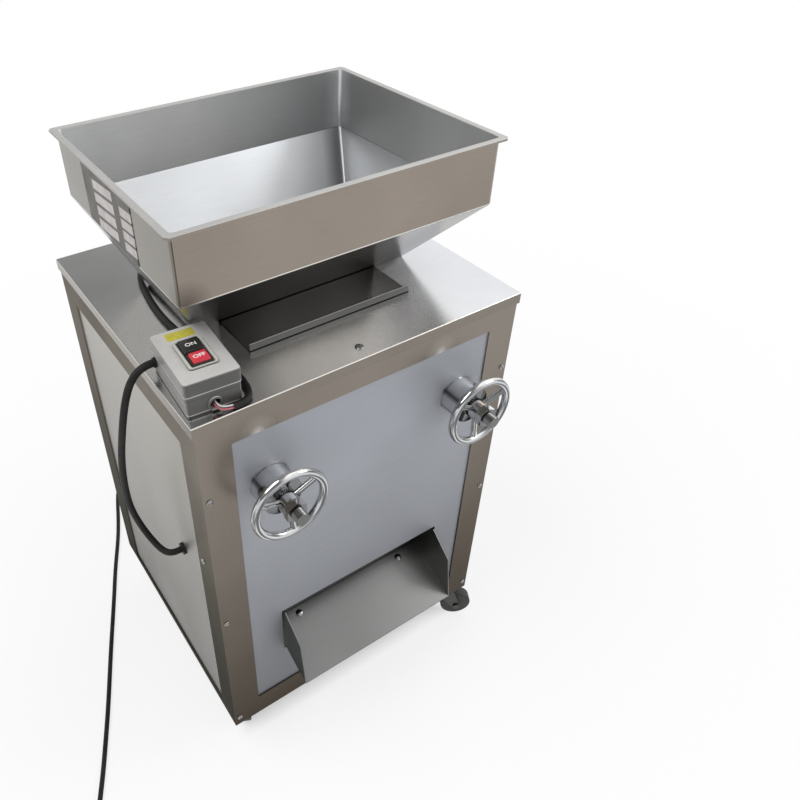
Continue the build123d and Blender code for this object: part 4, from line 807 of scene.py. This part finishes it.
# Screws: where each is seated and which way its head faces
POST_SCREWS = [
    ((side * 263, -247.5, z), (0, -1, 0)) for side in SIDES for z in (677.5, 402.5, 116.5)
]
SIDE_SCREWS = [((side * 272.5, -215, 528.5), (side, 0, 0)) for side in SIDES]
LID_SCREWS = [((-8, side * 226, Z_LID), (0, 0, 1)) for side in SIDES]
TRAY_SLOPE = math.radians(25.2)
TRAY_SCREW_Z = 248 + 35.5 * math.tan(TRAY_SLOPE)
TRAY_SCREWS = [
    ((side * 111, -212, TRAY_SCREW_Z), (0, -math.sin(TRAY_SLOPE), math.cos(TRAY_SLOPE)))
    for side in SIDES
]
SCREW_SEATS = POST_SCREWS + SIDE_SCREWS + LID_SCREWS + TRAY_SCREWS
SCREW_PROFILE = ((5, 0), (5, 0.7), (4.7, 1.4), (3.9, 2), (2.6, 2.35), (1.2, 2.5))
SCREW_TURN = 37
# Heads that face upwards, on the lid and in the tray, are wider
WIDE_HEAD = 1.3
SLOT_X = 3.9
SLOT_Y = 0.6
SLOT_CORNER = 0.2
SLOT_Z = (1.2, 2.52)
# Caster bolts, four at each corner, with heads under the plates and nuts above them
BOLT_MIDDLES = [
    (side_x * 240 + u * 20, side_y * 215 + v * 20)
    for side_x in SIDES for side_y in SIDES for u in SIDES for v in SIDES
]
BOLT_HEAD = ((6.4, 85.7), (7.5, 86.6), (7.5, 91))
BOLT_NUT = ((7.5, 99), (7.5, 104.6), (6.4, 105.5))
HEX = 6


def make_fasteners():
    """Slotted pan-head screws, and the hex bolts and nuts that hold the casters."""
    build = Build("screw_steel", "core_dark")
    for number, (seat, axis) in enumerate(SCREW_SEATS):
        wide = WIDE_HEAD if axis[Z] > 0 else 1.0
        turn = Vector(axis).to_track_quat("Z", "Y").to_matrix().to_4x4()
        spin = Matrix.Rotation(math.radians(SCREW_TURN * number), 4, "Z")
        place = Matrix.Translation(at(*seat)) @ turn @ spin @ MILLIMETRES
        build.stack(turned([(wide * radius, z) for radius, z in SCREW_PROFILE]), place)
        # Each slot is a dark bar set in the head: painted shade of the slot
        slot = (-SLOT_X * wide, SLOT_X * wide, -SLOT_Y, SLOT_Y, SLOT_CORNER)
        build.stack([outline(*slot, z, 1) for z in SLOT_Z], place, 1)
    for x, y in BOLT_MIDDLES:
        place = Matrix.Translation(at(x, y, 0)) @ MILLIMETRES
        for profile in (BOLT_HEAD, BOLT_NUT):
            build.stack(turned(profile, HEX), place)
    build.piece("screw_heads", "cabinet", "screw_steel", "cabinet_fasteners")


make_fasteners()

# Leads: control points of smooth curves, the same points that the part's routes have
SWITCH_EXIT = [(-266.1885, -126.7169, 835.0), (-280.1544, -125.7403, 835.0)]
MOTOR_LEAD_ROUTE = [
    (-300.0, -127.0, 6.0),
    (-314.0, -129.0, -24.0),
    (-324.0, -124.0, -72.0),
    (-330.0, -108.0, -135.0),
    (-330.0, -89.0, -205.0),
    (-326.0, -77.0, -268.0),
    (-316.0, -84.0, -315.0),
    (-306.0, -104.0, -340.0),
    (-299.0, -119.0, -347.0),
]
PANEL_ENTRY = [(-288.0, -127.0, 466.0), (-274.0, -127.0, 466.0)]
CORE_ROUTES = {
    "core_pale": [
        (-231.8, -229.9, 14.0), (-232.5, -240.2, 13.5), (-226.0, -244.5, 9.2), (-213.0, -244.5, 7.0)
    ],
    "core_plastic": [
        (-233.5, -229.9, 11.0), (-234.4, -241.2, 10.6), (-227.0, -246.4, 6.0), (-213.0, -246.2, 3.9)
    ],
    "core_dark": [
        (-230.1, -229.9, 11.0), (-230.7, -239.0, 10.6), (-225.2, -242.6, 6.0), (-213.0, -242.8, 3.9)
    ],
}
LID_ROUTE = [
    (-213.0, -244.5, 5.0),
    (-200.0, -245.3, 4.8),
    (-186.5, -237.5, 4.8),
    (-180.5, -223.0, 4.8),
    (-178.0, -200.0, 4.8),
    (-177.0, -163.0, 4.8),
    (-179.0, -126.0, 4.8),
    (-187.0, -100.0, 4.8),
    (-197.5, -80.0, 4.8),
    (-201.5, -52.0, 4.8),
    (-203.5, -10.0, 4.8),
    (-200.0, 36.0, 4.8),
    (-195.0, 70.0, 4.8),
    (-189.0, 104.0, 4.8),
    (-176.0, 130.0, 4.8),
    (-152.0, 148.0, 4.8),
    (-126.0, 172.0, 4.8),
    (-110.0, 203.0, 6.0),
    (-103.0, 230.5, 15.5),
    (-99.0, 253.0, 17.0),
    (-97.5, 274.0, 8.6),
    (-97.0, 289.0, -8.0),
    (-96.5, 295.5, -30.0),
    (-96.5, 298.0, -62.0),
    (-96.0, 298.5, -115.0),
    (-94.0, 297.0, -195.0),
    (-88.0, 294.0, -305.0),
    (-79.0, 292.0, -425.0),
    (-70.0, 292.0, -545.0),
    (-64.0, 295.0, -650.0),
    (-61.0, 302.0, -725.0),
    (-62.0, 317.0, -775.0),
    (-64.0, 343.0, -803.0),
]
FLOOR_Z = 4.6
FLOOR_ROUTE = [
    (-67.0, 376.0),
    (-76.0, 415.0),
    (-90.0, 458.0),
    (-112.0, 497.0),
    (-142.0, 525.0),
    (-180.0, 530.0),
    (-212.0, 508.0),
    (-229.0, 468.0),
    (-250.0, 410.0),
    (-274.0, 352.0),
    (-311.0, 276.0),
    (-345.5, 197.0),
    (-397.0, 84.0),
    (-446.0, -28.0),
    (-478.0, -96.0),
    (-502.0, -146.0),
    (-524.0, -188.0),
    (-541.0, -222.0),
    (-556.5, -254.0),
]
COIL_APPROACH = [(-571.0, -286.0), (-585.0, -318.0)]
COIL_Z = 5.9
COIL_R = 60.0
COIL_STEP = 9.6
COIL_TAIL = 22.0
COIL_DIAMETERS = (120.0, 110.0, 100.0, 90.0, 100.0, 110.0, 120.0)
COIL_CLIMB = 3
POINTS_PER_HALF_TURN = 6
LEAD_R = 4.5
MOTOR_LEAD_R = 5.25
CORE_R = 1.2
CORD_STEPS = 10
CORD_ROUND = 5
# Plug: radii and places along the strain relief, and the body's insets and places along it
RELIEF_FOOT = [(5.4, 0), (5.8, 0.8)]
RELIEF_END = [(7.6, 21)]
RIB_PROFILE = ((-0.8, -0.6), (0, 0), (0, 1.6), (-0.8, 2.2))
RIBS = [(6.2 + 0.45 * rib, 2.4 + 3.4 * rib) for rib in range(5)]
PLUG_HALF = (19, 14)
PLUG_CORNER = 8
PLUG_PROFILE = (
    (4, 19.6),
    (1.4, 20.6),
    (0.2, 23),
    (0, 30),
    (1.3, 36),
    (1.3, 42),
    (0, 48),
    (0, 53.5),
    (0.6, 55.4),
    (2.2, 56),
)


def coil_points():
    """Control points round the coil's half turns: in on the floor, up, and out on top."""
    (x0, y0), (x1, y1) = COIL_APPROACH
    heading = math.atan2(y1 - y0, x1 - x0) - math.pi / 2
    entry = Matrix.Translation((x1, y1, 0)) @ Matrix.Rotation(heading, 4, "Z")
    entry @= Matrix.Translation((-COIL_R, 2 * LEAD_R, 0))
    half_step = math.pi / POINTS_PER_HALF_TURN / 2
    x, z, way = COIL_R, COIL_Z, 1
    points = []
    for turn, diameter in enumerate(COIL_DIAMETERS):
        middle = x - way * diameter / 2
        reach = diameter / 2 / math.cos(half_step)
        climb = COIL_STEP if turn == COIL_CLIMB else 0.0
        for number in range(POINTS_PER_HALF_TURN):
            angle = half_step * (2 * number + 1)
            across = way * reach * math.cos(angle)
            along = way * reach * math.sin(angle)
            points.append((middle + across, along, z + climb * angle / math.pi))
        x, z, way = x - way * diameter, z + climb, -way
    points.append((x, way * COIL_TAIL, z))
    return [tuple(entry @ Vector(point)) for point in points]


def cord_curve(name, points, radius, finish):
    """Round cord along one smooth spline."""
    data = bpy.data.curves.new(name, "CURVE")
    data.dimensions = "3D"
    data.resolution_u = CORD_STEPS
    data.bevel_depth = radius / 1000
    data.bevel_resolution = CORD_ROUND
    data.use_fill_caps = True
    spline = data.splines.new("NURBS")
    spline.points.add(len(points) - 1)
    for place, point in zip(spline.points, points):
        place.co = (*at(*point), 1)
    spline.order_u = 3
    spline.use_endpoint_u = True
    data.materials.append(finishes[finish].material)
    cord = add_object(name, data)
    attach(cord, "cabinet")
    return cord


def make_plug(before, end):
    """Moulded plug with a ribbed, tapered strain relief, on from a cord's last two points."""
    heading = math.atan2(end[Y] - before[Y], end[X] - before[X])
    place = Matrix.Translation(at(*end)) @ Matrix.Rotation(heading + math.pi / 2, 4, "Z")
    place @= Matrix.Rotation(math.pi / 2, 4, "X") @ MILLIMETRES
    ribs = [(wide + out, foot + along) for wide, foot in RIBS for out, along in RIB_PROFILE]
    plug = Build("lead_rubber")
    plug.stack(turned(RELIEF_FOOT + ribs + RELIEF_END), place)
    rings = []
    for inset, along in PLUG_PROFILE:
        x, y = (half - inset for half in PLUG_HALF)
        rings.append(outline(-x, x, -y, y, PLUG_CORNER - inset, along))
    plug.stack(rings, place)
    return plug.piece("plug_body", "cabinet", "lead_rubber", "mains_plug")


def make_motor_lead():
    """The lead from the switch to the left panel."""
    points = SWITCH_EXIT + above_lid(MOTOR_LEAD_ROUTE) + PANEL_ENTRY
    lead = cord_curve("motor_cable", points, MOTOR_LEAD_R, "lead_rubber")
    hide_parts("motor_lead")


def make_supply_lead():
    """The supply lead with its bare cores, its coil and its plug."""
    for number, (finish, route) in enumerate(CORE_ROUTES.items(), 1):
        core = cord_curve(f"core_{number}", above_lid(route), CORE_R, finish)
        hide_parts("lead_cores")
    floor = [(x, y, FLOOR_Z) for x, y in FLOOR_ROUTE]
    approach = [(x, y, COIL_Z) for x, y in COIL_APPROACH]
    points = above_lid(LID_ROUTE) + floor + approach + coil_points()
    lead = cord_curve("supply_cable", points, LEAD_R, "lead_rubber")
    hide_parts("supply_lead", "supply_coil")
    plug = make_plug(*points[-2:])


make_motor_lead()
make_supply_lead()

# Stage and light: the floor's rings are radii and heights, in metres
STAGE_PROFILE = ((4, 0), (24, 0), (27, 0.6), (29, 2), (30, 5), (30, 8))
STAGE_SIDES = 64
# Half of the cabinet's foot, and how far inside its edge the floor stays dark
FOOT_HALF = (0.27, 0.245)
DARK_EDGE = (-0.08, -0.01)
# How far from the middle the floor's glow rises, and from what share
GLOW_REACH = (0.6, 2.0)
GLOW_NEAR = 0.78
# The surround's bright side, and its level across that side's edge
BRIGHT_WAY = (1.0, -0.3, 0.2)
BRIGHT_EDGE = (0.25, 0.53)
BRIGHT_LEVELS = (0.28, 1.15)
# Heights of the ray's way at which metal stops mirroring white, just above the backdrop
MIRROR_EDGE = (0.26, 0.3)
WHITE = (1, 1, 1, 1)
# Lamps: name, place, target, diameter and power
LAMPS = (
    ("top_lamp", (-2.2, 0.3, 4.0), (0, 0, 0.5), 3.0, 95.0),
    ("key_lamp", (2.6, -1.6, 2.5), (0, 0, 0.6), 1.4, 26.0),
)


def floor_white():
    """Matt white that glows where it is seen, less near the cabinet and not under it."""
    f = Finish("floor_white", (0.93, 0.93, 0.93), 0.9)
    f.set("Specular IOR Level", 0.0)
    past = []
    for index, half in enumerate(FOOT_HALF):
        out = f.math("ABSOLUTE", f.math("SUBTRACT", f.axis(index), SHIFT[index]))
        past.append(f.math("SUBTRACT", out, half))
    clear = f.span(f.math("MAXIMUM", *past), *DARK_EDGE)
    away = f.vector("LENGTH", f.place)["Value"]
    share = f.math("MULTIPLY", f.seen(), f.span(away, *GLOW_REACH, GLOW_NEAR, 1.0))
    both = f.add("ShaderNodeMixShader", Fac=f.math("MULTIPLY", share, clear))
    f.put(f.shader.outputs[0], both.inputs[1])
    f.put(f.add("ShaderNodeEmission", Color=WHITE, Strength=1.0).outputs[0], both.inputs[2])
    f.put(both.outputs[0], f.tree.nodes["Material Output"].inputs["Surface"])
    return f


def make_stage():
    """Pale floor that turns up into a backdrop all round."""
    build = bmesh.new()
    rings = []
    for ring in turned(STAGE_PROFILE, STAGE_SIDES):
        rings.append([build.verts.new(point) for point in ring])
    build.faces.new(rings[0])
    for lower, upper in zip(rings, rings[1:]):
        for here in range(STAGE_SIDES):
            after = (here + 1) % STAGE_SIDES
            build.faces.new((lower[here], lower[after], upper[after], upper[here]))
    mesh = bpy.data.meshes.new("floor")
    build.to_mesh(mesh)
    build.free()
    mesh.materials.append(floor_white().material)
    add_object("floor", mesh)


def make_world():
    """Soft surround, dimmer at the left and behind, and white above the backdrop where it is seen."""
    world = bpy.data.worlds.new("surround")
    world.use_nodes = True
    bpy.context.scene.world = world
    sky = Shading(world.node_tree, "Generated")
    lean = sky.vector("DOT_PRODUCT", sky.place, BRIGHT_WAY)["Value"]
    level = sky.span(lean, *BRIGHT_EDGE, *BRIGHT_LEVELS)
    level.node.interpolation_type = "SMOOTHSTEP"
    seen = sky.seen(sky.span(sky.axis(Z), *MIRROR_EDGE, 1.0, 0.0))
    strength = sky.add("ShaderNodeMix", Factor=seen, A=level, B=1.0).outputs["Result"]
    background = sky.tree.nodes["Background"]
    sky.put(WHITE, background.inputs["Color"])
    sky.put(strength, background.inputs["Strength"])


def area_lamp(name, place, target, size, power):
    """Round lamp that faces its target."""
    data = bpy.data.lights.new(name, "AREA")
    data.shape = "DISK"
    data.size = size
    data.energy = power
    lamp = add_object(name, data)
    lamp.location = place
    lamp.rotation_mode = "QUATERNION"
    lamp.rotation_quaternion = (Vector(target) - Vector(place)).to_track_quat("-Z", "Y")


make_stage()
make_world()
for lamp_row in LAMPS:
    area_lamp(*lamp_row)
bpy.context.scene.view_settings.view_transform = "Standard"
